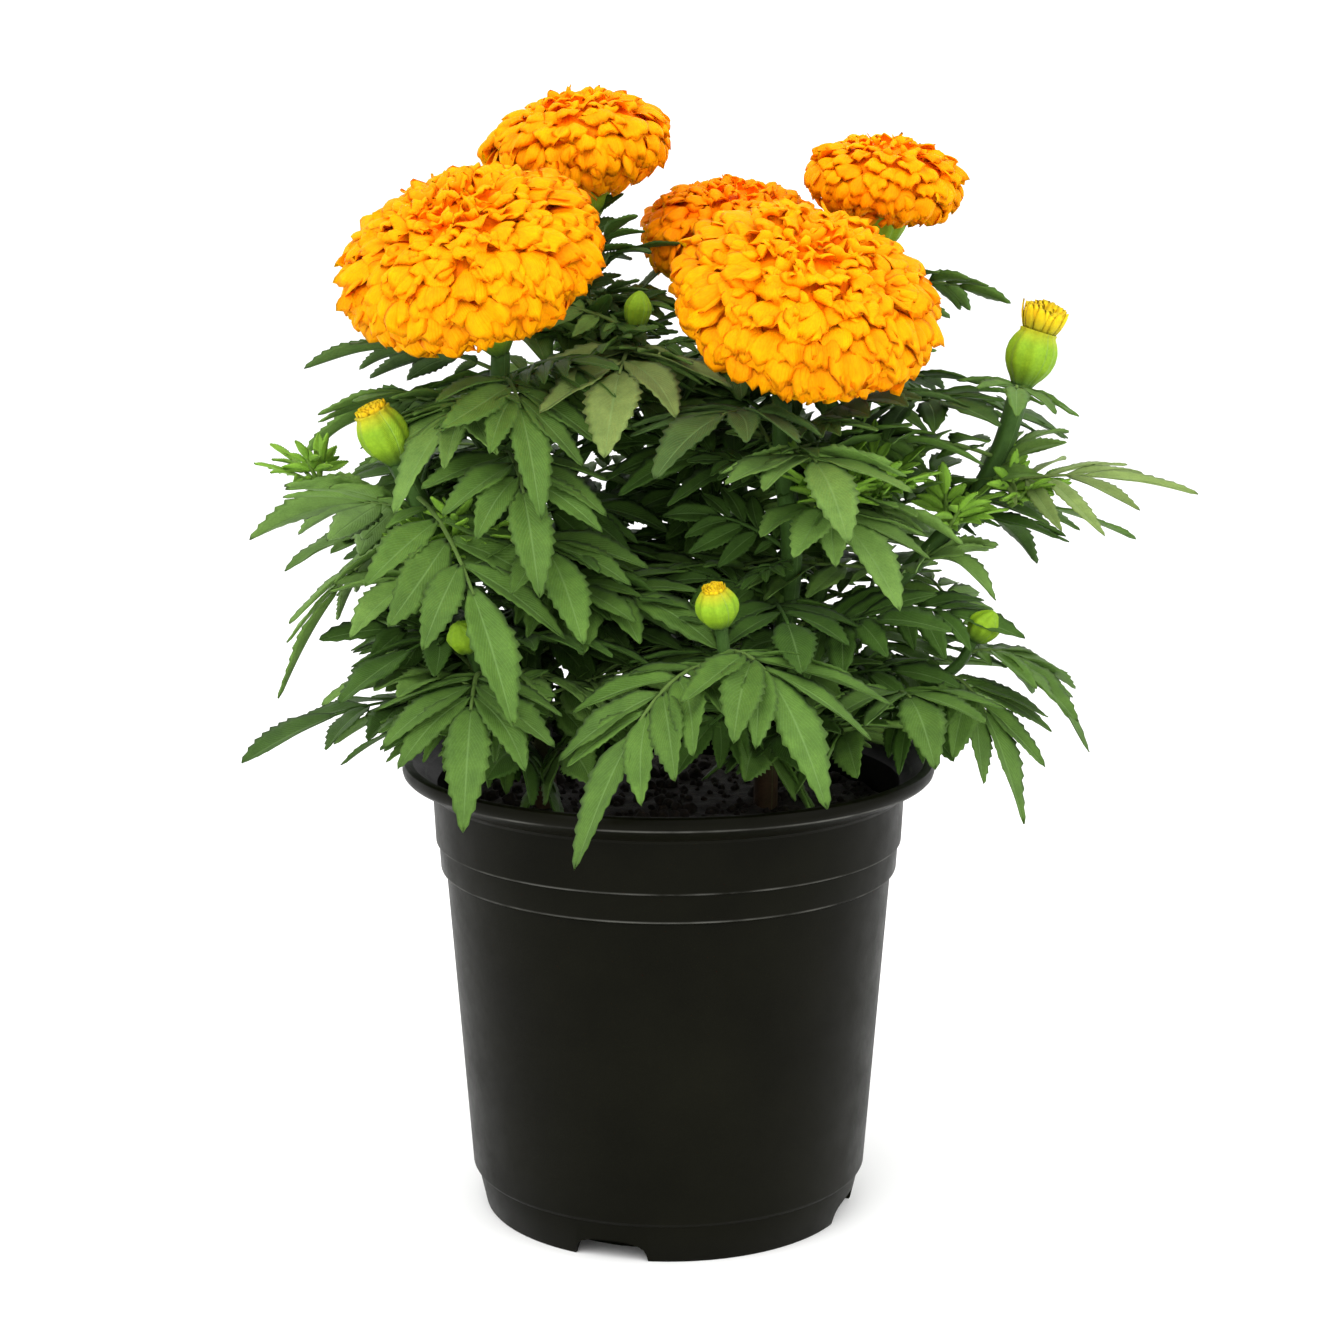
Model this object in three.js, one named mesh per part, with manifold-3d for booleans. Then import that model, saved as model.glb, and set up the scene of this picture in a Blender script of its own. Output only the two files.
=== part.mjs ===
// Potted marigold: a black nursery pot filled with potting mix, with two bushy flowering plants.
// Millimetres, +Z up. The origin is the centre of the pot's flat underside, and -Y is the front.
import * as THREE from 'three';
import Module from 'manifold-3d';

const wasm = await Module();
wasm.setup();

// ---------------------------------------------------------------- driving dimensions
// The gap between pieces that lie against each other, and how far a cutter passes what it cuts.
const GAP = 0.3;
const OVERRUN = 1;
const FINEST = 0.06;
const GOLDEN_ANGLE = Math.PI * (3 - Math.sqrt(5));
const ORIGIN = new THREE.Vector3();
const UP = new THREE.Vector3(0, 0, 1);
const NORTH = new THREE.Vector3(0, 1, 0);

const POT = {
  rimRadius: 82.5, height: 143, lipDepth: 4.5, lipSlope: 1, lipRound: 1.5, lipWidth: 4,
  neckRadius: 73.3, neckZ: 134.3, bandRadius: 72.1, bandZ: 118,
  stepRadius: 71, stepZ: 109.2, stepIn: 1.7, stepSlope: 0.8,
  lowRadius: 62, lowZ: 13.2, heelRadius: 60.6, heelSlope: 1, footRadius: 58, footRing: 2,
  discRadius: 47, channelHeight: 3, channelSlope: 1.5, wall: 1.5, floor: 2, sides: 24,
};
const NOTCH = {
  count: 4, firstAngle: -107.6, width: 23, crown: 0.72, springZ: 0.5, height: 6.5, innerRadius: 52,
};
// The mix: its top rings are shares of its radius and of its mound, from the edge inwards.
const SOIL = {
  fit: 0.45, flare: 0.5, topZ: 128, edgeDrop: 1, mound: 3, rings: [[0.72, 0], [0.4, 0.7], [0, 1]],
  sides: 12, relief: 1.3, seed: 71,
};
const STEM = { sides: 6, footZ: 95, step: 30 };
// A leaf's rib: half its section at the stem, and how much of that is left at the far end.
const RACHIS = { halfWidth: 0.95, halfHeight: 0.7, taper: 0.55 };
// Leaflets: keel depth, foot length, sag, the angles of the first and the last pair, the size of the
// smallest pair, and the end leaflet's length and half width as shares of the blade.
const LEAFLET = {
  keel: 1.15, foot: 3.2, sag: 0.2, steepest: 64, flattest: 38, smallest: 0.7, endLength: 1.05, endWidth: 0.56,
};
// How far along the leafy part of a rib its leaflets begin, and where the rib first bends.
const BARE_STALK = 0.4;
const FIRST_BEND = 0.5;
// How wide a leaflet is along its length: a share of the length, then a share of the width.
const OUTLINE = { fine: [[0.4, 1], [0.74, 0.62]], plain: [[0.46, 1]] };
// Petals: thickness at the shoulder, then shares of the width and of the way out from the centre.
const PETAL = {
  thick: 2.4, neck: 0.34, turn: 0.12, wave: 0.07, waveDraw: 0.3, hang: 32, scallop: 0.07, corner: 2.2,
  root: 0.3, shoulder: 0.82, reach: 0.99,
};
// Flower heads: the seat's depth, the core's size, and the core's rows and the petals in degrees
// down from the top. A petal is as wide as a share of the radius, and wider at the head's waist.
const HEAD = {
  seat: 0.6, core: 0.74, coreRows: [112, 84, 56, 30], coreSides: 9, firstPetal: 9, lastPetal: 124,
  width: 0.44, waist: 0.4, turnDraw: 0.12, fallDraw: 0.05,
};
// A bloom's green cup: its radius and length against the bloom's radius, and its outline as shares
// of its length below the seat and of its greatest radius.
const CUP = { radius: 4.4, radiusShare: 0.14, length: 7, lengthShare: 0.28, rim: 0.4 };
const CUP_OUTLINE = [[0.6, 0.72], [0.25, 1], [0, 0.96]];
// A bud case's outline, as shares of its length and of its greatest radius.
const OPEN_BUD = [[0.28, 0.86], [0.55, 1], [0.84, 0.86]];
const SHUT_BUD = [[0.3, 0.86], [0.58, 1], [0.85, 0.66], [1, 0.2]];
// The florets in a bud: shares of the mouth's radius, and of the tuft's height on and between teeth.
const FLORETS = { teeth: 6, dip: 0.84, rows: [[1.02, 1, 0.72], [0.6, 0.86, 0.62]], foot: 0.88, top: 0.95 };

const COLOUR = {
  pot: '#1c1d1a', soil: '#241a12', leaf: '#3f6f2b', petal: '#ff9d0a', floret: '#e3b80c',
};
const ROUGHNESS = { pot: 0.42, soil: 0.95, leaf: 0.65, petal: 0.6, floret: 0.6 };

// Flower heads: centre, lean to the right and towards the front in degrees, radius, height.
const BLOOMS = {
  bloom_front_left: {
    centre: [-57.1, -38, 298.3], lean: [-15, 28], radius: 38, height: 50, petals: 33, seed: 71,
  },
  bloom_front_right: {
    centre: [39.5, -42, 286.5], lean: [12, 30], radius: 39, height: 52, petals: 31, seed: 62,
  },
  bloom_back_left: {
    centre: [-28, 24, 329.5], lean: [-8, 6], radius: 28, height: 32, petals: 20, seed: 73,
  },
  bloom_back_middle: {
    centre: [20.7, 36, 301.5], lean: [3, 12], radius: 29, height: 34, petals: 19, seed: 64,
  },
  bloom_back_right: {
    centre: [66, 13, 319], lean: [6, 8], radius: 25, height: 28, petals: 17, seed: 75,
  },
};

// Stems of each plant: the route, which a smooth curve joins, the radius at each end,
// and the bloom or the bud that the stem ends in.
const STEMS = {
  plant_left: {
    main: [
      [[-38, -10, STEM.footZ], [-38, -10, 131], [-39, -11, 150], [-44, -14, 190], [-50, -19, 245]],
      [3.7, 2.7], 'bloom_front_left',
    ],
    back: [[[-39, -9, 146], [-37, 10, 185], [-30, 22, 245]], [2.5, 2.1], 'bloom_back_left'],
    side: [[[-42, -12, 165], [-60, -22, 195], [-71, -30, 221]], [2.2, 3.2], 'bud_left'],
    low: [[[-39, -11, 142], [-52, -36, 168]], [1.9, 1.5], 'bud_low_left'],
    rear: [[[-39, -9, 138], [-56, 22, 168], [-66, 44, 200]], [2.2, 1.3], null],
    inner: [[[-33, 17, 224], [-18, 8, 250], [-11, 2, 268]], [1.5, 1.5], 'bud_inner'],
  },
  plant_right: {
    main: [
      [[30, -8, STEM.footZ], [30, -8, 134], [31, -9, 153], [37, -16, 205], [34, -24, 238]],
      [3.7, 2.7], 'bloom_front_right',
    ],
    middle: [[[31, -8, 150], [28, 18, 190], [20, 32, 240]], [2.5, 2.1], 'bloom_back_middle'],
    back: [[[33, -10, 160], [50, 6, 205], [62, 14, 262]], [2.4, 2], 'bloom_back_right'],
    side: [[[34, -12, 172], [66, -8, 196], [90, -3, 220], [101, 0, 238]], [2.2, 3.2], 'bud_right'],
    low: [[[31, -9, 145], [68, -16, 162], [86, -19, 174]], [1.9, 1.5], 'bud_low_right'],
    front: [[[32, -10, 152], [24, -42, 172], [17, -57, 184]], [2, 1.7], 'bud_middle'],
    rear: [[[31, -7, 140], [44, 28, 165], [50, 54, 196]], [2.2, 1.3], null],
  },
};

// Green buds: the tip, the greatest radius, the length, and the radius of the florets' opening (0 = shut).
const BUDS = {
  bud_left: { tip: [-86.5, -36, 254], radius: 7, length: 17, mouth: 3.6, tuft: 2.2 },
  bud_right: { tip: [112, 0, 274.5], radius: 7.4, length: 17, mouth: 5.4, tuft: 10 },
  bud_middle: { tip: [13, -63, 205.5], radius: 6, length: 12, mouth: 3, tuft: 1.6 },
  bud_low_left: { tip: [-61, -53, 194], radius: 4.8, length: 11, mouth: 0, tuft: 0 },
  bud_low_right: { tip: [98, -21, 192], radius: 4.8, length: 11, mouth: 0, tuft: 0 },
  bud_inner: { tip: [-8.5, 0, 286.5], radius: 4, length: 12, mouth: 0, tuft: 0 },
};

// Leaves placed one by one: the stem, the place along it, the leaf's tip, how far its rib arches up,
// the pairs of leaflets, the longest leaflet's length and width, and the roll of the blade in degrees.
const LEAVES = {
  plant_left: [
    ['main', 0.945, [-108, -20, 265], 14, 3, 31, 9, 20],
    ['main', 0.84, [-111, 0, 237], 20, 4, 30, 10, 15],
    ['side', 0.7, [-125.5, -20, 213.7], 14, 4, 38, 13, 25],
    ['side', 0.55, [-119, -14, 164], 34, 3, 32, 10, 0],
    ['side', 0.8, [-43, -93, 172], 24, 3, 37, 13.5, 0],
    ['low', 0.5, [-102, -44, 168], 20, 4, 32, 11, 0],
    ['low', 0.75, [-57, -98, 143], 26, 3, 36, 12, 0],
    ['low', 0.3, [-99, -26, 146], 16, 3, 26, 9, 0],
    ['main', 0.92, [-36, -66, 226], 26, 3, 33, 11, -10],
    ['inner', 0.72, [-18, -68, 244], 16, 2, 38, 15, 0],
    ['main', 0.775, [-36, -80, 206], 26, 3, 33, 12, 0],
    ['main', 0.68, [-24, -76, 192], 26, 3, 34, 12, 0],
    ['main', 0.88, [-86, -52, 232], 20, 3, 31, 10, 0],
    ['side', 0.35, [-92, -56, 190], 20, 3, 33, 11, 0],
  ],
  plant_right: [
    ['main', 0.905, [-4, -75, 239], 20, 3, 36, 12, 0],
    ['main', 0.775, [50, -84, 222], 26, 3, 36, 13, 0],
    ['front', 0.55, [-26, -104, 134], 40, 4, 34, 12, 0],
    ['front', 0.75, [44, -99, 150], 26, 3, 38, 13, 0],
    ['main', 0.84, [88, -34, 255], 18, 4, 30, 10, 0],
    ['side', 0.6, [159, -16, 227], 9, 3, 34, 7, 15],
    ['side', 0.53, [123, 8, 243], 14, 3, 26, 8, 0],
    ['side', 0.47, [116, 22, 200], 14, 3, 30, 10, 0],
    ['low', 0.85, [127, -26, 150], 22, 4, 30, 10, 0],
    ['low', 0.6, [106, -40, 131], 24, 3, 30, 11, 0],
    ['side', 0.3, [98, -24, 196], 18, 3, 32, 12, 0],
    ['low', 0.3, [76, -76, 156], 26, 3, 34, 12, 0],
    ['main', 0.695, [66, -66, 200], 22, 3, 33, 12, 0],
  ],
};

// Leaves that follow the plant's own rule, in opposite pairs up a stem, each pair a quarter turn on:
// the stem, the places of the first and the last pair along it, the pairs, and the first pair's heading.
const LEAF_RULE = {
  plant_left: {
    seed: 5,
    rows: [['back', 0.3, 0.86, 3, 60], ['rear', 0.3, 0.98, 3, 20]],
  },
  plant_right: {
    seed: 9,
    rows: [['middle', 0.3, 0.86, 3, 75], ['back', 0.4, 0.8, 2, 10], ['rear', 0.4, 0.98, 3, 40]],
  },
};
// A rule leaf's reach, how much shorter the last is, its drop and what is drawn around each of them;
// then how far each new try turns it and lifts its tip.
const RULE = {
  reach: 88, shorten: 26, reachDraw: 8, drop: 12, riseDraw: 14, turnDraw: 14, arch: 20, pairs: 3,
  blade: [31, 11.5], tries: 9, swing: 11, lift: 3,
};
// The plants meet at a slanted upright plane. Rule leaves keep this far off it, the pot and the heads.
const DIVIDE = { point: new THREE.Vector3(-4, 0, 0), normal: new THREE.Vector3(0.97, 0.24, 0) };
const CLEAR = { divide: 1.5, pot: 4, rim: 3, heads: 3 };

// ---------------------------------------------------------------- small tools
// A seeded draw between -1 and 1, the same on every run.
function drawer(seed) {
  let state = seed * 7919;
  return () => {
    state = (state * 16807) % 2147483647;
    return (2 * state) / 2147483647 - 1;
  };
}

const radians = (degrees) => (degrees * Math.PI) / 180;
const vector = (list) => new THREE.Vector3(...list);

// The point `base` moved along each direction by its amount.
function moved(base, ...steps) {
  const point = base.clone();
  for (const [direction, amount] of steps) point.addScaledVector(direction, amount);
  return point;
}

// A closed body from its corners and its faces, which are split into triangles as fans.
function solid(points, faces) {
  const vertProperties = new Float32Array(points.flatMap((p) => [p.x, p.y, p.z]));
  const fans = faces.flatMap((f) => f.slice(2).map((corner, i) => [f[0], f[i + 1], corner]));
  const mesh = new wasm.Mesh({ numProp: 3, vertProperties, triVerts: new Uint32Array(fans.flat()) });
  return new wasm.Manifold(mesh);
}

function named(name, body, kind) {
  const { vertProperties, triVerts } = body.getMesh();
  const geometry = new THREE.BufferGeometry();
  geometry.setAttribute('position', new THREE.BufferAttribute(new Float32Array(vertProperties), 3));
  geometry.setIndex(new THREE.BufferAttribute(new Uint32Array(triVerts), 1));
  geometry.computeVertexNormals();
  const material = new THREE.MeshStandardMaterial({
    color: COLOUR[kind], roughness: ROUGHNESS[kind], metalness: 0,
  });
  const mesh = new THREE.Mesh(geometry, material);
  mesh.name = name;
  return mesh;
}

// Bodies grown together as one: the largest shell is kept, so hollows are filled and scraps dropped,
// and slivers finer than FINEST are closed up.
function join(bodies) {
  const shells = wasm.Manifold.union(bodies).simplify(FINEST).decompose();
  return shells.reduce((largest, shell) => (shell.volume() > largest.volume() ? shell : largest));
}

// A body turned about +Z from a profile of [radius, z] that starts and ends on the axis.
// `raise` gives the height added at a corner, for uneven surfaces.
function turned(profile, sides, raise = () => 0) {
  const inner = profile.slice(1, -1);
  const points = [new THREE.Vector3(0, 0, profile[0][1])];
  inner.forEach(([radius, z], row) => {
    for (let k = 0; k < sides; k += 1) {
      const angle = (2 * Math.PI * k) / sides;
      const lift = raise(row + 1, k);
      points.push(new THREE.Vector3(radius * Math.cos(angle), radius * Math.sin(angle), z + lift));
    }
  });
  points.push(new THREE.Vector3(0, 0, profile.at(-1)[1] + raise(profile.length - 1, 0)));
  return solid(points, ringFaces(inner.length, sides, 0, points.length - 1));
}

// Faces of rings of corners, each ring numbered round, closed by a first and a last point.
function ringFaces(rings, sides, first, last) {
  const faces = [];
  const corner = (ring, k) => first + 1 + ring * sides + (k % sides);
  for (let k = 0; k < sides; k += 1) {
    faces.push([first, corner(0, k + 1), corner(0, k)]);
    for (let ring = 0; ring < rings - 1; ring += 1) {
      faces.push([corner(ring, k), corner(ring, k + 1), corner(ring + 1, k + 1), corner(ring + 1, k)]);
    }
    faces.push([corner(rings - 1, k), corner(rings - 1, k + 1), last]);
  }
  return faces;
}

// A round bar through `points` with a radius at each, closed by flat ends.
function bar(points, radii, sides) {
  const corners = [points[0]];
  points.forEach((centre, i) => {
    const ahead = points[Math.min(i + 1, points.length - 1)];
    const behind = points[Math.max(i - 1, 0)];
    const along = ahead.clone().sub(behind).normalize();
    const across = NORTH.clone().cross(along).normalize();
    const third = along.clone().cross(across);
    for (let k = 0; k < sides; k += 1) {
      const angle = (2 * Math.PI * k) / sides;
      const [c, s] = [Math.cos(angle) * radii[i], Math.sin(angle) * radii[i]];
      corners.push(moved(centre, [across, c], [third, s]));
    }
  });
  corners.push(points.at(-1));
  return solid(corners, ringFaces(points.length, sides, 0, corners.length - 1));
}

// ---------------------------------------------------------------- pot and potting mix
function potOutline() {
  const p = POT;
  return [
    [0, 0], [p.discRadius, 0], [p.discRadius + p.channelSlope, p.channelHeight],
    [p.footRadius - p.footRing - p.channelSlope, p.channelHeight], [p.footRadius - p.footRing, 0],
    [p.footRadius, 0], [p.heelRadius, p.lowZ - p.heelSlope], [p.lowRadius, p.lowZ],
    [p.stepRadius - p.stepIn, p.stepZ - p.stepSlope], [p.stepRadius, p.stepZ], [p.bandRadius, p.bandZ],
    [p.neckRadius, p.neckZ], [p.rimRadius - p.lipSlope, p.height - p.lipDepth],
    [p.rimRadius, p.height - p.lipRound], [p.rimRadius - p.lipRound, p.height],
    [p.rimRadius - p.lipWidth, p.height],
  ];
}

// The pot's inside, from under the rim down to the middle of its floor, drawn `inset` further in.
function potInside(inset) {
  const p = POT;
  const side = p.wall + inset;
  const floorZ = p.floor + inset;
  return [
    [p.neckRadius - side, p.neckZ + p.wall], [p.bandRadius - side, p.bandZ],
    [p.stepRadius - side, p.stepZ + p.wall], [p.stepRadius - p.stepIn - side, p.stepZ],
    [p.lowRadius - side, p.lowZ + p.wall / 2], [p.heelRadius - side, p.lowZ - p.heelSlope + p.wall / 2],
    [p.footRadius - side, p.channelHeight + floorZ], [p.discRadius - inset, p.channelHeight + floorZ],
    [p.discRadius - p.channelSlope - inset, floorZ], [0, floorZ],
  ];
}

function makePot() {
  let pot = turned([...potOutline(), ...potInside(0)], POT.sides);
  for (let k = 0; k < NOTCH.count; k += 1) {
    const angle = radians(NOTCH.firstAngle + (k * 360) / NOTCH.count);
    pot = pot.subtract(notch(angle));
  }
  return named('pot', pot, 'pot');
}

// An arched drain notch through the foot, as a radial bar whose section is a low arch.
function notch(angle) {
  const outward = new THREE.Vector3(Math.cos(angle), Math.sin(angle), 0);
  const sideways = new THREE.Vector3(-Math.sin(angle), Math.cos(angle), 0);
  const half = NOTCH.width / 2;
  const crown = half * NOTCH.crown;
  const arch = [
    [-half, -OVERRUN], [half, -OVERRUN], [half, NOTCH.springZ],
    [crown, NOTCH.height], [-crown, NOTCH.height], [-half, NOTCH.springZ],
  ];
  const ends = [NOTCH.innerRadius, POT.lowRadius + OVERRUN];
  const place = (radius, s, z) => moved(ORIGIN, [outward, radius], [sideways, s], [UP, z]);
  const corners = ends.flatMap((radius) => arch.map(([s, z]) => place(radius, s, z)));
  const n = arch.length;
  const sides = arch.map((_, i) => [i, (i + 1) % n, n + ((i + 1) % n), n + i]);
  const caps = [arch.map((_, i) => n - 1 - i), arch.map((_, i) => n + i)];
  return solid(corners, [...sides, ...caps]);
}

// The mix fills the pot, and its top is mounded and uneven.
function makeSoil() {
  const draw = drawer(SOIL.seed);
  const wallPoints = potInside(SOIL.fit).slice(1).reverse();
  const edge = wallPoints.at(-1)[0] + SOIL.flare;
  const rings = SOIL.rings.map(([share, rise]) => [edge * share, SOIL.topZ + SOIL.mound * rise]);
  const profile = [...wallPoints, [edge, SOIL.topZ - SOIL.edgeDrop], ...rings];
  const raise = (row) => (row > wallPoints.length ? SOIL.relief * draw() : 0);
  let soil = turned(profile, SOIL.sides, raise);
  for (const { main } of Object.values(STEMS)) {
    const [route, [footRadius]] = main;
    const foot = vector(route[0]);
    const hole = (footRadius + GAP) / Math.cos(Math.PI / (2 * STEM.sides));
    const top = SOIL.topZ + SOIL.mound + SOIL.relief + OVERRUN;
    const depth = [foot.clone().setZ(STEM.footZ - GAP), foot.clone().setZ(top)];
    soil = soil.subtract(bar(depth, [hole, hole], 2 * STEM.sides));
  }
  return named('potting_mix', soil, 'soil');
}

// ---------------------------------------------------------------- flower heads
function bloomFrame(bloom) {
  const [right, front] = bloom.lean.map(radians);
  const axis = new THREE.Vector3(Math.tan(right), -Math.tan(front), 1).normalize();
  const across = NORTH.clone().cross(axis).normalize();
  const third = axis.clone().cross(across);
  return { centre: vector(bloom.centre), axis, across, third, half: bloom.height / 2 };
}

function cupOf(bloom) {
  return {
    radius: CUP.radius + bloom.radius * CUP.radiusShare,
    length: CUP.length + bloom.radius * CUP.lengthShare,
  };
}

// A petal: a root in the core, a thick shoulder, and a wavy outer edge that turns back.
function petal(frame, bloom, turn, fall, width, draw) {
  const outward = moved(ORIGIN, [frame.across, Math.cos(turn)], [frame.third, Math.sin(turn)]);
  const around = frame.axis.clone().cross(outward);
  const [s, c] = [Math.sin(fall), Math.cos(fall)];
  const reach = moved(ORIGIN, [outward, bloom.radius * s], [frame.axis, frame.half * c]);
  const downhill = moved(ORIGIN, [outward, bloom.radius * c], [frame.axis, -frame.half * s]).normalize();
  const face = around.clone().cross(downhill).normalize().negate();
  const root = moved(frame.centre, [reach, PETAL.root]);
  const shoulder = moved(frame.centre, [reach, PETAL.shoulder], [downhill, -PETAL.turn * width]);
  const edge = moved(frame.centre, [reach, PETAL.reach], [downhill, PETAL.turn * width]);
  // At the shoulder the blade turns from pointing outwards to lying along the head's surface.
  const ways = [shoulder.clone().sub(root).normalize(), edge.clone().sub(shoulder).normalize()];
  const thickness = ways[0].add(ways[1]).cross(around).setLength(PETAL.thick / 2);
  const points = [
    root, moved(shoulder, [around, -PETAL.neck * width]), moved(shoulder, [thickness, 1]),
    moved(shoulder, [around, PETAL.neck * width]), moved(shoulder, [thickness, -1]),
  ];
  for (let k = -2; k <= 2; k += 1) {
    const wave = PETAL.wave * width * ((k % 2 === 0 ? 1 : -1) + PETAL.waveDraw * draw());
    const drop = (k * k * width * width) / (PETAL.hang * bloom.radius);
    const back = PETAL.scallop * width * (Math.abs(k) === 2 ? PETAL.corner : Math.abs(k) - 1);
    points.push(moved(edge, [around, (k * width) / 4], [face, wave - drop], [downhill, -back]));
  }
  // Both faces are split alike: a fan from the upper shoulder and one from the lower shoulder.
  const [left, upper, right, lower, rim] = [1, 2, 3, 4, 5];
  const faces = [[0, left, upper], [0, upper, right], [0, right, lower], [0, lower, left]];
  faces.push([left, rim, upper], [upper, rim + 4, right], [lower, rim, left], [right, rim + 4, lower]);
  for (let k = rim; k < rim + 4; k += 1) faces.push([upper, k, k + 1], [lower, k + 1, k]);
  return solid(points, faces);
}

// The dense heart that the petals stand out of, with the flat seat under it.
function bloomCore(frame, bloom) {
  const rows = [[cupOf(bloom).radius - CUP.rim, -HEAD.seat * frame.half]];
  for (const fall of HEAD.coreRows.map(radians)) {
    rows.push([HEAD.core * bloom.radius * Math.sin(fall), HEAD.core * frame.half * Math.cos(fall)]);
  }
  const points = [moved(frame.centre, [frame.axis, rows[0][1]])];
  for (const [radius, height] of rows) {
    for (let k = 0; k < HEAD.coreSides; k += 1) {
      const angle = (2 * Math.PI * k) / HEAD.coreSides;
      const [c, s] = [radius * Math.cos(angle), radius * Math.sin(angle)];
      points.push(moved(frame.centre, [frame.axis, height], [frame.across, c], [frame.third, s]));
    }
  }
  points.push(moved(frame.centre, [frame.axis, HEAD.core * frame.half]));
  return solid(points, ringFaces(rows.length, HEAD.coreSides, 0, points.length - 1));
}

// Petals stand in a spiral, evenly spread over the head from its top to under its waist.
function makeBloom(name) {
  const bloom = BLOOMS[name];
  const frame = bloomFrame(bloom);
  const draw = drawer(bloom.seed);
  const parts = [bloomCore(frame, bloom)];
  const [top, bottom] = [HEAD.firstPetal, HEAD.lastPetal].map((fall) => Math.cos(radians(fall)));
  for (let i = 0; i < bloom.petals; i += 1) {
    const fall = Math.acos(top + ((bottom - top) * (i + 0.5)) / bloom.petals);
    const width = bloom.radius * (HEAD.width + HEAD.waist * Math.sin(fall));
    const turn = i * GOLDEN_ANGLE + HEAD.turnDraw * draw();
    parts.push(petal(frame, bloom, turn, fall + HEAD.fallDraw * draw(), width, draw));
  }
  return named(name, join(parts), 'petal');
}

// ---------------------------------------------------------------- stems, cups and buds
const curveOf = (route) => new THREE.CatmullRomCurve3(route, false, 'catmullrom', 0.5);

// The way a bud points, from the last point of its stem to its tip.
const budAxis = (tip, [route]) => vector(tip).sub(vector(route.at(-1))).normalize();

// A stem's route, carried on to its cup or bud case, and the points and radii of that case.
function stemCourse(stem) {
  const [points, , head] = stem;
  const route = points.map(vector);
  const bloom = BLOOMS[head];
  const bud = BUDS[head];
  if (bloom) {
    const { centre, axis, half } = bloomFrame(bloom);
    const { radius, length } = cupOf(bloom);
    const seat = HEAD.seat * half + GAP;
    const below = (depth) => moved(centre, [axis, -seat - length * depth]);
    route.push(below(1));
    return { route, tail: CUP_OUTLINE.map(([depth, share]) => [below(depth), radius * share]) };
  }
  if (bud) {
    const axis = budAxis(bud.tip, stem);
    const along = (share) => moved(vector(bud.tip), [axis, bud.length * (share - 1)]);
    route.push(along(0));
    const shape = bud.mouth > 0 ? [...OPEN_BUD, [1, bud.mouth / bud.radius]] : SHUT_BUD;
    return { route, tail: shape.map(([share, width]) => [along(share), bud.radius * width]) };
  }
  return { route, tail: [] };
}

function makeStem(stem) {
  const { route, tail } = stemCourse(stem);
  const curve = curveOf(route);
  const count = Math.max(3, Math.round(curve.getLength() / STEM.step));
  const points = [];
  const radii = [];
  for (let i = 0; i <= count; i += 1) {
    points.push(curve.getPoint(i / count));
    radii.push(THREE.MathUtils.lerp(...stem[1], i / count));
  }
  for (const [point, radius] of tail) {
    points.push(point);
    radii.push(radius);
  }
  return bar(points, radii, STEM.sides);
}

// The yellow florets that show in an opened bud: a short fringed tuft on its mouth.
function makeFlorets(stem) {
  const key = stem[2];
  const bud = BUDS[key];
  const tip = vector(bud.tip);
  const axis = budAxis(bud.tip, stem);
  const across = NORTH.clone().cross(axis).normalize();
  const third = axis.clone().cross(across);
  const points = [moved(tip, [axis, GAP])];
  const rows = [[FLORETS.foot, GAP, GAP]];
  for (const [share, ...heights] of FLORETS.rows) rows.push([share, ...heights.map((h) => h * bud.tuft)]);
  for (const [share, onTooth, between] of rows) {
    for (let k = 0; k < 2 * FLORETS.teeth; k += 1) {
      const angle = (Math.PI * k) / FLORETS.teeth;
      const tooth = k % 2 === 0;
      const radius = bud.mouth * share * (tooth ? 1 : FLORETS.dip);
      const [c, s] = [radius * Math.cos(angle), radius * Math.sin(angle)];
      points.push(moved(tip, [axis, tooth ? onTooth : between], [across, c], [third, s]));
    }
  }
  points.push(moved(tip, [axis, bud.tuft * FLORETS.top]));
  const body = solid(points, ringFaces(rows.length, 2 * FLORETS.teeth, 0, points.length - 1));
  return named(`${key}_florets`, body, 'floret');
}

// ---------------------------------------------------------------- leaves
// The rib's curve, the blade's sideways direction and its upper face, from where a leaf leaves its stem.
function leafFrame(base, tip, arch, roll) {
  const bend = moved(base.clone().lerp(tip, 0.5), [UP, arch]);
  const heading = tip.clone().sub(base).setZ(0).normalize();
  const level = heading.clone().cross(UP);
  const [start, stop] = [bend.clone().sub(base), tip.clone().sub(bend)];
  const place = (u) => moved(ORIGIN, [base, (1 - u) ** 2], [bend, 2 * u * (1 - u)], [tip, u * u]);
  const direction = (u) => moved(ORIGIN, [start, 1 - u], [stop, u]).normalize();
  const sideways = (u) => level.clone().applyAxisAngle(direction(u), radians(roll));
  const face = (u) => sideways(u).cross(direction(u)).normalize();
  return { place, direction, sideways, face };
}

// Where a leaflet's centre line goes, from its foot (0) to its tip (1), and which way its width lies.
function leafletLine(frame, u, side, angle, length) {
  const sideways = frame.sideways(u);
  const steps = [[frame.direction(u), Math.cos(angle)], [sideways, side * Math.sin(angle)]];
  const direction = moved(ORIGIN, ...steps);
  const across = frame.face(u).cross(direction).normalize();
  const foot = moved(frame.place(u), [sideways, side * RACHIS.halfWidth]);
  const sag = LEAFLET.sag * length;
  return { at: (s) => moved(foot, [direction, length * s], [UP, -sag * s * s]), across };
}

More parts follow.
